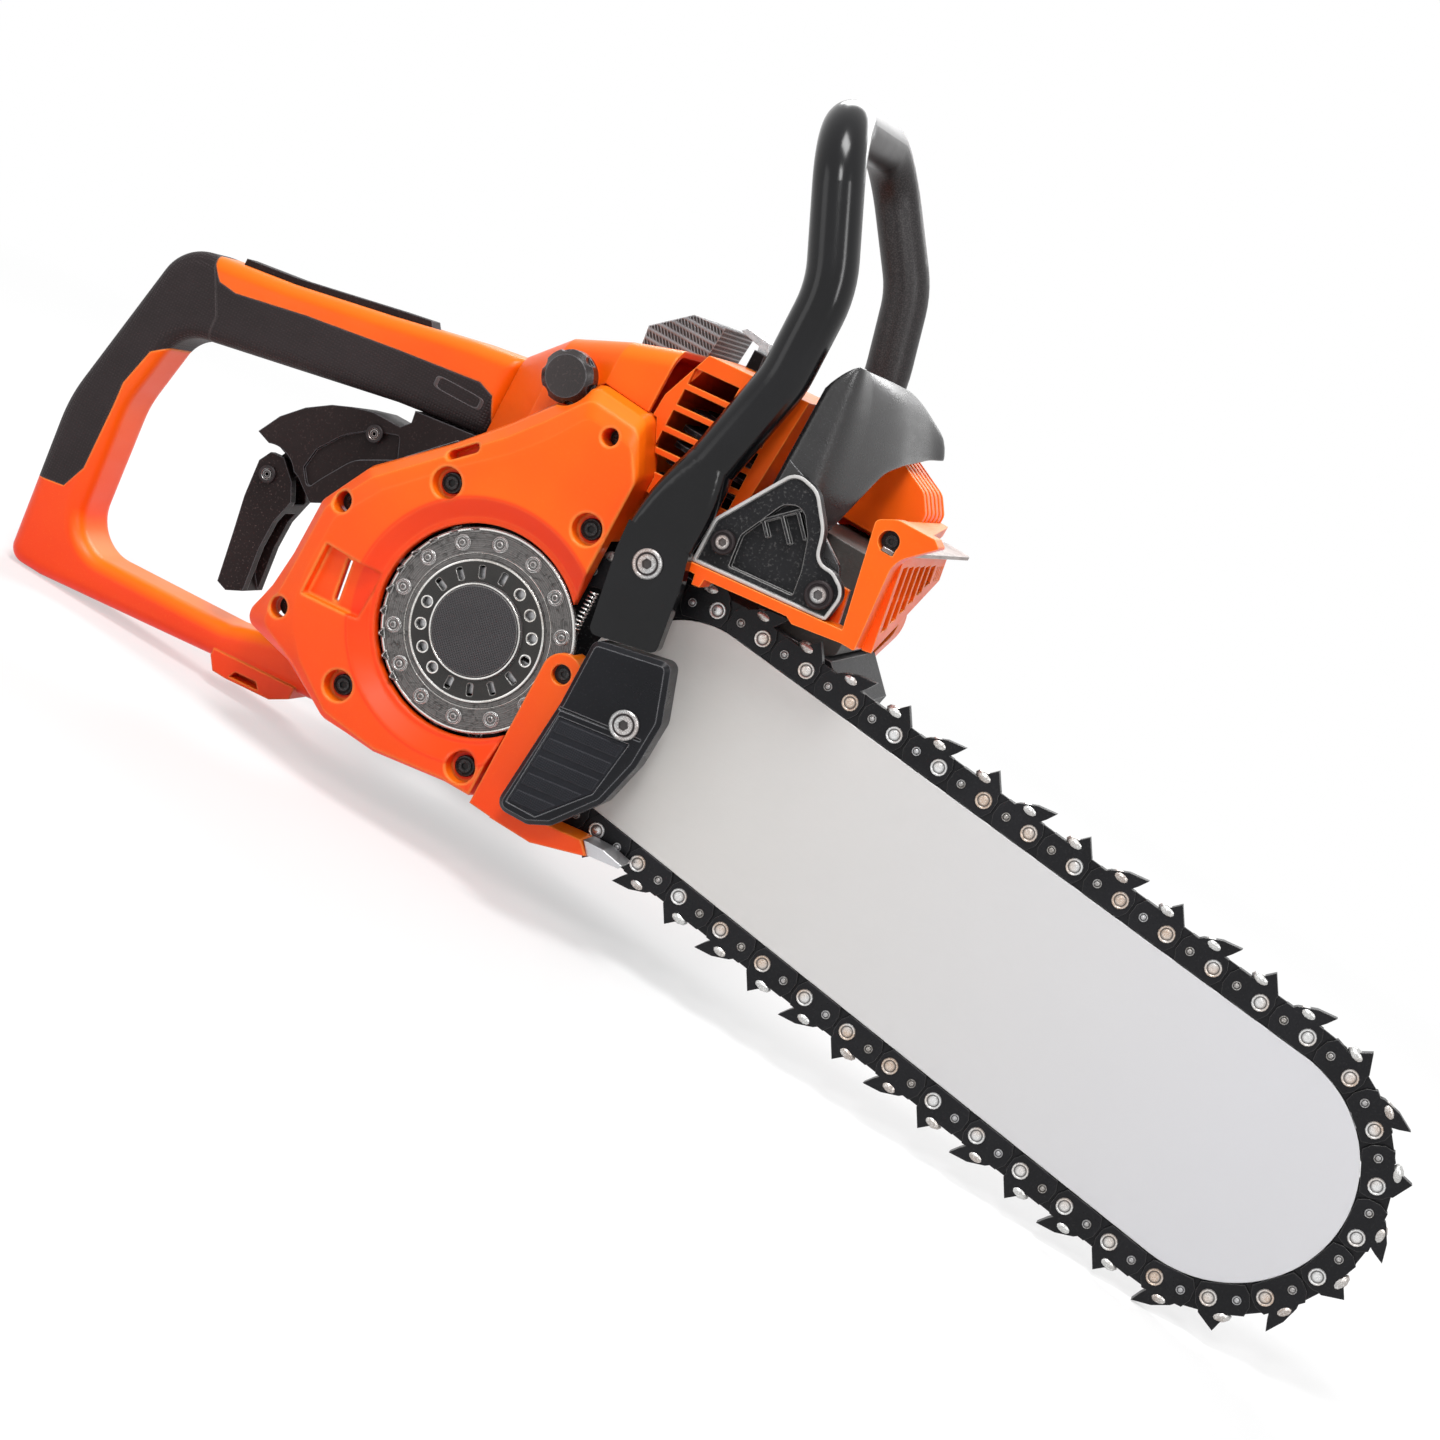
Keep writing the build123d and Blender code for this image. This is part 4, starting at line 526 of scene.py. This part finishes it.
def rivetProfile(lowY, highY, radius):
    # dome, groove and rolled lip as shares of the radius, mirrored to the far side of the chain
    shares = np.array([0.0, 0.36, 0.56, 0.66, 0.8, 0.93, 1.0])
    drops = np.array([0.0, 0.00012, 0.0004, 0.00065, 0.0002, 0.00025, 0.0009])
    r = np.concatenate([shares, shares[::-1]]) * radius[:, None]
    y = np.concatenate([lowY[:, None] + drops, (highY[:, None] - drops)[:, ::-1]], 1)
    return np.stack([r, y], -1)


lowest, highest = islands("chain_rivets")
rivetAt = ((lowest + highest) / 2)[:, [0, 2]]
rivetRadius = (highest - lowest)[:, [0, 2]].min(1) / 2
big = rivetRadius > rivetLook["smallBelow"]
# band for each profile row: the groove and rim rows take the dark groove colour as painted shade
grooves = [0, 0, 0.5, 1, 0.1, 0, 0.6, 0.6, 0, 0.1, 1, 0.5, 0, 0]
for name, chosen, steel in (("rivetHeads", big, headSteel), ("smallRivets", ~big, smallSteel)):
    profile = rivetProfile(lowest[chosen, 1], highest[chosen, 1], rivetRadius[chosen])
    surfacePiece(name, lathe(rivetAt[chosen], profile, rivetLook["sides"]), "saw", steel,
                 bands=grooves, replaced=["chain_rivets"])

# round the loop by angle about its middle: each large rivet, the small one after it, and the way out
middle = rivetAt.mean(0)
turn = np.arctan2(rivetAt[:, 1] - middle[1], rivetAt[:, 0] - middle[0])
order = np.argsort(turn)
ahead = np.empty(len(order), dtype=int)
ahead[order] = np.roll(order, -1)
along = rivetAt[ahead] - rivetAt
along /= np.linalg.norm(along, axis=1, keepdims=True)
outward = np.stack([along[:, 1], -along[:, 0]], 1)


def toothChips():
    # bright worn heel of each tooth, an ellipsoid: centre + long cos u cos v along the chain,
    # half width sin u across it, high cos u sin v outward
    u = np.linspace(-np.pi / 2, np.pi / 2, 7)[None, :, None]
    v = np.linspace(0, 2 * np.pi, 10, endpoint=False)[None, None, :]
    gap = np.linalg.norm(rivetAt[ahead] - rivetAt, axis=1, keepdims=True)
    spot = (rivetAt + along * gap * chipLook["share"] + outward * chipLook["lift"])[big]
    a, o = along[big][:, None, None, :], outward[big][:, None, None, :]
    half = ((highest - lowest)[big, 1] / 2 - 0.001 + chipLook["proud"])[:, None, None]
    flat = (a * (chipLook["long"] * np.cos(u) * np.cos(v))[..., None]
            + o * (chipLook["high"] * np.cos(u) * np.sin(v))[..., None] + spot[:, None, None, :])
    y = ((lowest + highest)[big, 1] / 2)[:, None, None] + half * np.sin(u) * np.ones_like(v)
    return np.stack([flat[..., 0], y, flat[..., 1]], -1)


surfacePiece("toothHeels", toothChips(), "saw", ringedSteel("wornHeel", {
    "colour": (0.5, 0.5, 0.49), "tint": (0.35, 0.3, 0.27), "scratch": (0.95, 0.95, 0.93),
    "groove": (0.1, 0.1, 0.1), "rough": 0.3, "metal": 0.8}), bands=[0] * 7)
print("chain fittings made:", int(big.sum()), "large rivets")


# Screws and pins.

screwLook = {"socket": 0.36, "depth": 0.0014, "sides": 30}
brightScrew = ringedSteel("brightScrew", {
    "colour": (0.42, 0.42, 0.42), "tint": (0.45, 0.36, 0.33), "scratch": (0.95, 0.95, 0.94),
    "groove": (0.014, 0.008, 0.009), "rough": 0.2, "metal": 0.85})
darkScrew = ringedSteel("darkScrew", {
    "colour": (0.012, 0.012, 0.013), "tint": (0.02, 0.018, 0.018), "scratch": (0.12, 0.12, 0.12),
    "groove": (0.004, 0.004, 0.004), "rough": 0.25, "metal": 0.6})
# band for each profile row; in the plain marks the socket and groove rows take the dark groove colour as
# painted shade
plainMarks = [0.9, 0.9, 0.2, 0, 0.1, 1, 1, 0.1, 0, 0.5, 0.6, 0.6, 0.6, 0.6]
cappedMarks = [0.8, 0.8, 0, 0.2, 1, 1, 1, 1, 1, 1, 1, 1, 1, 1]


def screwHeads(name, node, headDepth, shank, material, outwards=-1, marks=plainMarks):
    # hexagonal socket, raised collar, groove and rolled lip, then the shank, for each solid of the node
    lowest, highest = islands(node)
    radius = (highest - lowest)[:, [0, 2]].mean(1) / 2
    face = lowest[:, 1] if outwards < 0 else highest[:, 1]
    back = highest[:, 1] if outwards < 0 else lowest[:, 1]
    socket, depth = screwLook["socket"], screwLook["depth"]
    shares = np.array([0, socket, socket, 0.46, 0.6, 0.66, 0.72, 0.8, 0.92, 1.0, 1.0])
    drops = np.array([depth, depth, 0.0002, 0.0, 0.0001, 0.0007, 0.0007, 0.0001, 0.0002, 0.0008, headDepth])
    r = np.concatenate([shares * radius[:, None], np.full((len(radius), 2), shank),
                        np.zeros((len(radius), 1))], 1)
    y = np.concatenate([face[:, None] - outwards * drops, face[:, None] - outwards * headDepth,
                        back[:, None], back[:, None]], 1)
    centres = ((lowest + highest) / 2)[:, [0, 2]]
    grids = lathe(centres, np.stack([r, y], -1), screwLook["sides"], [1, 2])
    return surfacePiece(name, grids, "saw", material, bands=marks, replaced=[node])


screwHeads("handleScrews", "handle_screws", 0.0022, 0.004, brightScrew)
screwHeads("brakeScrews", "brake_screws", 0.004, 0.003, brightScrew, marks=cappedMarks)
screwHeads("coverScrews", "cover_screws", 0.003, 0.0023, darkScrew)
screwHeads("starterScrews", "starter_screws", 0.001, 0.003, darkScrew, outwards=1)


# pins whose middle lies lower than this, in metres, show from the right
pinsBelow = 0.2


def flatHeads():
    # shallow ringed discs over the trigger's pin and the bracket's screw
    lowest, highest = islands("handle_pins")
    seen = highest[:, 2] + lowest[:, 2] < 2 * pinsBelow
    centres = ((lowest + highest) / 2)[seen][:, [0, 2]]
    radius = (highest - lowest)[seen][:, [0, 2]].min(1) / 2
    face = lowest[seen, 1]
    shares = np.array([0, 0.22, 0.3, 0.44, 0.52, 0.64, 0.72, 1.0, 1.08, 1.08, 0])
    drops = np.array([0.0, 0.0, -0.0002, -0.0002, 0.0, 0.0, -0.0003, -0.0003, 0.0, 0.0008, 0.0008])
    grids = lathe(centres, np.stack([shares * radius[:, None], face[:, None] + drops
                                     + np.zeros((len(radius), 1))], -1), 28)
    return surfacePiece("pinCaps", grids, "saw", brightScrew,
                        bands=[0.3, 0.3, 1, 0.9, 0, 0, 1, 1, 1, 1, 1])


flatHeads()
plugSpots = {
    # from the drive axis along X and Z, radius, and how far in from the right side, all in metres
    "cover_arm": [mm(51.5, 5.6, 4.7, 3.6)],
    "clutch_cover": [mm(16.5, 118.0, 4.2, 14.5), mm(-90.9, 22.4, 5.2, 14.5), mm(-95.8, -41.0, 5.2, 14.5)],
    "front_frame": [mm(161.0, 142.0, 4.9, 6.5)],
}


def darkPlugs():
    # dark recessed screws set in the open holes, also painted shade that darkens the deep holes: flat floor,
    # dished rim, closed behind
    rows = [(driveAxis[0] + x, driveAxis[2] + z, r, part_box(name)[0][1] + deep)
            for name, spots in plugSpots.items() for x, z, r, deep in spots]
    x, z, radius, face = np.array(rows).T
    shares = np.array([0, 0.25, 0.3, 0.62, 0.68, 1.0, 1.0, 0])
    drops = np.array([0.0008, 0.0008, 0.0, 0.0, 0.0006, 0.0006, 0.0016, 0.0016])
    profile = np.stack([shares * radius[:, None], face[:, None] + drops + np.zeros((len(x), 1))], -1)
    surfacePiece("recessPlugs", lathe(np.stack([x, z], 1), profile, 24), "saw", darkScrew,
                 bands=[0.3, 0.3, 0, 0, 0.8, 1, 1, 1])


darkPlugs()
print("screws made")


# Polished rings on the clutch.

clutchLook = {"rimRadius": 0.0236, "drumRing": 0.0352, "flangeRing": 0.0506, "flangeStep": 0.0388,
              "holeCircle": 0.0295, "holeRadius": 0.0029, "openings": 16, "section": 10, "holeSection": 8}


def ringProfile(radius, y, wide, high, count):
    # closed oval section: r = radius + wide cos s, y = y + high sin s
    s = np.linspace(0, 2 * np.pi, count, endpoint=False)
    return np.stack([radius + wide * np.cos(s), y + high * np.sin(s)], -1)


polished = ringedSteel("polishedRim", {
    "colour": (0.7, 0.69, 0.67), "tint": (0.5, 0.48, 0.45), "scratch": (0.95, 0.94, 0.92),
    "groove": (0.05, 0.05, 0.05), "rough": 0.18, "metal": 0.9})
axisAt = [driveAxis[0], driveAxis[2]]
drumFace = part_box("clutch_drum")[0][1]
flangeFace = drumFace + 0.0015
for name, radius, y, wide in (("capRim", clutchLook["rimRadius"], capFace + 0.0007, 0.0005),
                              ("drumRim", clutchLook["drumRing"], drumFace, 0.0006),
                              ("flangeRim", clutchLook["flangeRing"], flangeFace, 0.0006),
                              ("flangeStep", clutchLook["flangeStep"], flangeFace, 0.0003)):
    profile = ringProfile(radius, y, wide, 0.0004, clutchLook["section"])
    surfacePiece(name, lathe(axisAt, profile, 96), "clutch", polished, wrapRows=True,
                 bands=[0] * clutchLook["section"])
spokes = np.arange(clutchLook["openings"])
spokes = spokes[spokes % 8 < 4] * 2 * np.pi / clutchLook["openings"]
holes = np.array(axisAt) + clutchLook["holeCircle"] * np.stack([np.cos(spokes), np.sin(spokes)], 1)
profile = ringProfile(clutchLook["holeRadius"], drumFace, 0.00045, 0.0004, clutchLook["holeSection"])
surfacePiece("holeRings", lathe(holes, profile, 20), "clutch", polished, wrapRows=True,
             bands=[0] * clutchLook["holeSection"])


# Small spring in the gap beside the clutch cover.

springLook = {"radius": 0.0022, "wire": 0.0004, "turns": 10, "perTurn": 26, "foot": 0.140, "top": 0.162,
              "besideArm": 0.0022, "behindHandle": 0.0235, "closed": 1e-7}
springRows = springLook["perTurn"] * springLook["turns"]


def springCoil():
    # helix: x = centre + radius cos a, y = centre + radius sin a, z rising evenly with a
    a = np.linspace(0, 2 * np.pi * springLook["turns"], springRows)
    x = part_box("cover_arm")[0][0] + springLook["besideArm"]
    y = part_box("front_handle")[0][1] + springLook["behindHandle"]
    z = np.linspace(springLook["foot"], springLook["top"], len(a))
    path = np.stack([x + springLook["radius"] * np.cos(a), y + springLook["radius"] * np.sin(a), z], 1)
    spoke = np.stack([np.cos(a), np.sin(a), np.zeros_like(a)], 1)
    taper = np.full(len(a), springLook["wire"])
    taper[[0, -1]] = springLook["closed"]
    return tube(path, spoke, taper, 8)


surfacePiece("returnSpring", springCoil(), "saw", polished, bands=[0] * springRows)


# Hand guard, a curved blade and its flat wall.

guardLook = {
    # millimetres from the lowest corner of the solid guard: plan at its foot and at its top, then the
    # heights of its lower and upper edges against the way across
    "foot": [(0, 0), (26, 0), (66.5, 59.5), (73.5, 127.5), (79.5, 142.0)],
    "top": [(0, 0), (11.5, 0), (19.5, 57.5), (21.5, 127.5), (29.0, 142.0)],
    "footAt": 12.6, "topAt": 112.6,
    "lower": [(0, 37), (8, 30), (22, 24), (40, 26), (62, 50), (85, 69), (110, 75), (170, 80), (200, 84)],
    "upper": [(0, 96), (8, 108), (16, 112), (40, 110), (90, 109.5), (150, 108), (178, 105), (200, 95)],
    "thick": 4.6, "rollBack": 7.0, "across": 110, "round": 64,
    # outline of the wall round the pivot, the pivot from the solid's lowest corner, its hole
    "wall": [(-46.0, 26.6), (-46.0, 48.0), (-33.4, 43.6), (-23.4, 31.6), (0.6, 15.6), (6.6, 3.6), (5.6, -4.4),
             (-6.4, -6.4)],
    "pivot": (47.9, 9.0), "hole": 4.1, "leastReach": 9.0, "wallRows": 160,
}


def softened(line, count, width):
    # polyline resampled evenly by length, then its corners averaged out over a window; the ends stay
    line = np.asarray(line, dtype=float)
    length = np.concatenate([[0], np.cumsum(np.linalg.norm(np.diff(line, axis=0), axis=1))])
    at = np.linspace(0, length[-1], count)
    even = np.stack([np.interp(at, length, line[:, k]) for k in range(line.shape[1])], 1)
    for _ in range(3):
        before = 2 * even[0] - even[1:width + 1][::-1]
        after = 2 * even[-1] - even[-width - 1:-1][::-1]
        padded = np.concatenate([before, even, after])
        window = np.ones(2 * width + 1) / (2 * width + 1)
        even = np.stack([np.convolve(padded[:, k], window, "valid") for k in range(line.shape[1])], 1)
    return even, at


def guardShell():
    # middle surface S(s, h): plan at height h is the straight mix of the foot's and the top's plans, and the
    # top edge rolls back by rollBack h^6. Round each cross-section the shell is S + half thickness times the
    # normal, the section a flat oval: along = sin w to the power 0.35, off = cos w to the power 0.6
    corner = np.array(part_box("hand_guard")[0])
    count = guardLook["across"]
    foot, length = softened(guardLook["foot"], count, 4)
    top, _ = softened(guardLook["top"], count, 4)
    lower, upper = (softened(guardLook[key], count, 3)[0] for key in ("lower", "upper"))
    lowZ = np.interp(length, lower[:, 0] * length[-1] / 200, lower[:, 1])
    topZ = np.interp(length, upper[:, 0] * length[-1] / 200, upper[:, 1])
    ends = np.clip(np.minimum(np.arange(count), np.arange(count)[::-1]) / 4, 0, 1)
    ends = np.sqrt(1 - (1 - ends) ** 2)[:, None]
    w = np.linspace(0, 2 * np.pi, guardLook["round"], endpoint=False)
    up = np.sign(np.sin(w)) * np.abs(np.sin(w)) ** 0.35
    off = np.sign(np.cos(w)) * np.abs(np.cos(w)) ** 0.6
    h = 0.5 + 0.5 * up * (0.94 + 0.06 * ends)

    def middle(s, h):
        z = lowZ[s][:, None] + (topZ - lowZ)[s][:, None] * h
        mix = (z - guardLook["footAt"]) / (guardLook["topAt"] - guardLook["footAt"])
        plan = foot[s][:, None] * (1 - mix[..., None]) + top[s][:, None] * mix[..., None]
        blade = np.clip(plan[..., 1] / 25, 0, 1)
        x = plan[..., 0] - guardLook["rollBack"] * blade * np.clip(h, 0, 1) ** 6
        return np.stack([x, plan[..., 1], z], -1)

    index = np.arange(count)
    centre = middle(index, h)
    alongS = middle(np.minimum(index + 1, count - 1), h) - middle(np.maximum(index - 1, 0), h)
    alongH = middle(index, h + 0.01) - middle(index, h - 0.01)
    normal = np.cross(alongS, alongH)
    normal /= np.linalg.norm(normal, axis=-1, keepdims=True)
    shell = centre + normal * (guardLook["thick"] / 2 * off * ends)[..., None]
    shell[..., 1] += guardLook["thick"] / 2
    return (corner + shell / 1000)[None]


def guardWall():
    # flat wall round the pivot: hole circle, outline as distance against angle, both at two depths
    corner = np.array(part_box("hand_guard")[0])
    outline = np.asarray(guardLook["wall"])
    dense = np.concatenate([outline, outline[:1]])
    step = np.linspace(0, len(outline), guardLook["wallRows"], endpoint=False)
    px, pz = (np.interp(step, np.arange(len(dense)), dense[:, k]) for k in (0, 1))
    angle, reach = np.arctan2(pz, px), np.maximum(np.hypot(px, pz), guardLook["leastReach"])
    pivot = corner[[0, 2]] + np.array(mm(*guardLook["pivot"]))
    hole = np.full_like(reach, guardLook["hole"])
    r = np.stack([hole, reach - 0.6, reach, reach, reach - 0.6, hole]) / 1000
    y = corner[1] + np.array(mm(0.0, 0.0, 0.6, 3.2, 3.8, 3.8))[:, None] + 0 * reach
    return np.stack([pivot[0] + r * np.cos(angle), y, pivot[1] + r * np.sin(angle)], -1)[None]


surfacePiece("guardBlade", guardShell(), "guard", ownFinish["hand_guard"], sharp=60,
             replaced=["hand_guard"])
surfacePiece("guardWall", guardWall(), "guard", ownFinish["hand_guard"], wrapRows=True,
             replaced=["hand_guard"])
print("guard made")


# Bare name plate on the grip pad.

plateLook = {"halfLong": 0.0135, "halfHigh": 0.0032, "tilt": 1.7, "fromEnd": 0.0228, "fromTop": 0.0105,
             "wire": 0.0003}


def plateFrame():
    # rounded rectangle as a superellipse: a sign(cos t) |cos t|^0.35, b sign(sin t) |sin t|^0.35,
    # turned by tilt
    lowCorner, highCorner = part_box("rear_handle_pad")
    t = np.linspace(0, 2 * np.pi, 96, endpoint=False)
    px = plateLook["halfLong"] * np.sign(np.cos(t)) * np.abs(np.cos(t)) ** 0.35
    pz = plateLook["halfHigh"] * np.sign(np.sin(t)) * np.abs(np.sin(t)) ** 0.35
    tilt = math.radians(plateLook["tilt"])
    x = highCorner[0] - plateLook["fromEnd"] + px * math.cos(tilt) - pz * math.sin(tilt)
    z = highCorner[2] - plateLook["fromTop"] + px * math.sin(tilt) + pz * math.cos(tilt)
    s = np.linspace(0, 2 * np.pi, 8, endpoint=False)
    middleX, middleZ = x.mean(), z.mean()
    scale = 1 + plateLook["wire"] * np.cos(s)[:, None] / plateLook["halfHigh"]
    y = lowCorner[1] + 0.00005 + plateLook["wire"] * 0.8 * np.sin(s)[:, None]
    gridX = middleX + (x - middleX)[None] * scale
    gridZ = middleZ + (z - middleZ)[None] * scale
    return np.stack([gridX, np.broadcast_to(y, gridX.shape), gridZ], -1)[None]


surfacePiece("plateFrame", plateFrame(), "saw", mouldedPlastic("plateEdge", {
    **brownLook, "colour": (0.07, 0.055, 0.055), "drift": (0.1, 0.08, 0.08)}), wrapRows=True)
print("trim made")


# Floor, lamps, camera and world.

studio = {
    "aim": Vector((0.003, -0.03915, 0.133)),
    "azimuth": 11.0, "elevation": 11.0, "roll": 29.0, "distance": 1.2, "lens": 60.0,
    "floorColour": (0.93, 0.93, 0.93), "skyStrength": 0.28,
}


def cameraAxes():
    # right, up and back directions of the rolled view
    a, e, t = (math.radians(studio[key]) for key in ("azimuth", "elevation", "roll"))
    back = Vector((math.sin(a) * math.cos(e), -math.cos(a) * math.cos(e), math.sin(e)))
    level = Vector((math.cos(a), math.sin(a), 0))
    rise = back.cross(level)
    return math.cos(t) * level + math.sin(t) * rise, -math.sin(t) * level + math.cos(t) * rise, back


right, up, back = cameraAxes()
cameraData = bpy.data.cameras.new("camera")
cameraData.lens, cameraData.sensor_width = studio["lens"], 36.0
camera = bpy.data.objects.new("camera", cameraData)
scene.collection.objects.link(camera)
spot = studio["aim"] + back * studio["distance"]
camera.matrix_world = Matrix(((right.x, up.x, back.x, spot.x), (right.y, up.y, back.y, spot.y),
                              (right.z, up.z, back.z, spot.z), (0, 0, 0, 1)))
scene.camera = camera

lamps = {
    # offsets along the view's right, up and back directions, size, power
    "keyLight": ((0.35, 1.05, 0.75), (0.5, 0.4), 12),
    "frontLight": ((0.15, 0.5, 1.1), (0.2, 0.2), 2.8),
    "fillLight": ((-1.1, 0.3, 0.7), (0.5, 0.9), 2),
    "sideLight": ((0.95, 0.05, 0.95), (0.2, 0.6), 3.5),
    "rimLight": ((0.5, 0.9, -0.8), (1.1, 0.5), 14),
}
for name, (offset, size, power) in lamps.items():
    lamp = bpy.data.lights.new(name, "AREA")
    lamp.shape, lamp.size, lamp.size_y, lamp.energy = "RECTANGLE", size[0], size[1], power
    holder = bpy.data.objects.new(name, lamp)
    scene.collection.objects.link(holder)
    away = right * offset[0] + up * offset[1] + back * offset[2]
    holder.location = studio["aim"] + away
    holder.rotation_euler = (-away).to_track_quat("-Z", "Y").to_euler()

world = bpy.data.worlds.new("studioWorld")
scene.world = world
world.use_nodes = True
sky = Shade(world.node_tree)
rays = sky.node("ShaderNodeLightPath", pick="Is Camera Ray")
seen = rays.math("MAXIMUM", Shade(world.node_tree, rays.out.node.outputs["Is Glossy Ray"]))
seen = seen.math("MAXIMUM", Shade(world.node_tree, rays.out.node.outputs["Is Transmission Ray"]))
strength = seen * (1.0 - studio["skyStrength"]) + studio["skyStrength"]
background = world.node_tree.nodes["Background"]
background.inputs["Color"].default_value = (1, 1, 1, 1)
world.node_tree.links.new(strength.out, background.inputs["Strength"])


def floorDisc(radius=6.0, count=96):
    # flat disc: x = radius cos t, y = radius sin t, just under the saw; what the camera, gloss and glass
    # see of it is half white light, all white far from the saw
    t = np.linspace(0, 2 * np.pi, count, endpoint=False)
    rim = np.stack([radius * np.cos(t), radius * np.sin(t), np.full(count, -0.0006)], 1)
    mesh = bpy.data.meshes.new("floor")
    mesh.from_pydata(rim.tolist(), [], [list(range(count))])
    floor = bpy.data.objects.new("floor", mesh)
    scene.collection.objects.link(floor)
    material, shader, start, place = startMaterial("floorPaint", Roughness=0.9, Specular_IOR_Level=0.1)
    shader.inputs["Base Color"].default_value = rgba(studio["floorColour"])
    looked = start.node("ShaderNodeLightPath", pick="Is Camera Ray")
    for kind in ("Is Glossy Ray", "Is Transmission Ray"):
        looked = looked.math("MAXIMUM", Shade(start.tree, looked.tree.nodes["Light Path"].outputs[kind]))
    away = place.vector("LENGTH", pick="Value").to(0.5, 1.3, 0.55, 1.0)
    glow = start.node("ShaderNodeEmission", {}, {"Color": (1, 1, 1, 1), "Strength": 1.0})
    both = start.node("ShaderNodeMixShader", {}, {0: looked * away, 1: Shade(start.tree, shader.outputs[0]),
                                                  2: glow})
    start.tree.links.new(both.out, start.tree.nodes["Material Output"].inputs["Surface"])
    mesh.materials.append(material)


floorDisc()
print("studio set")
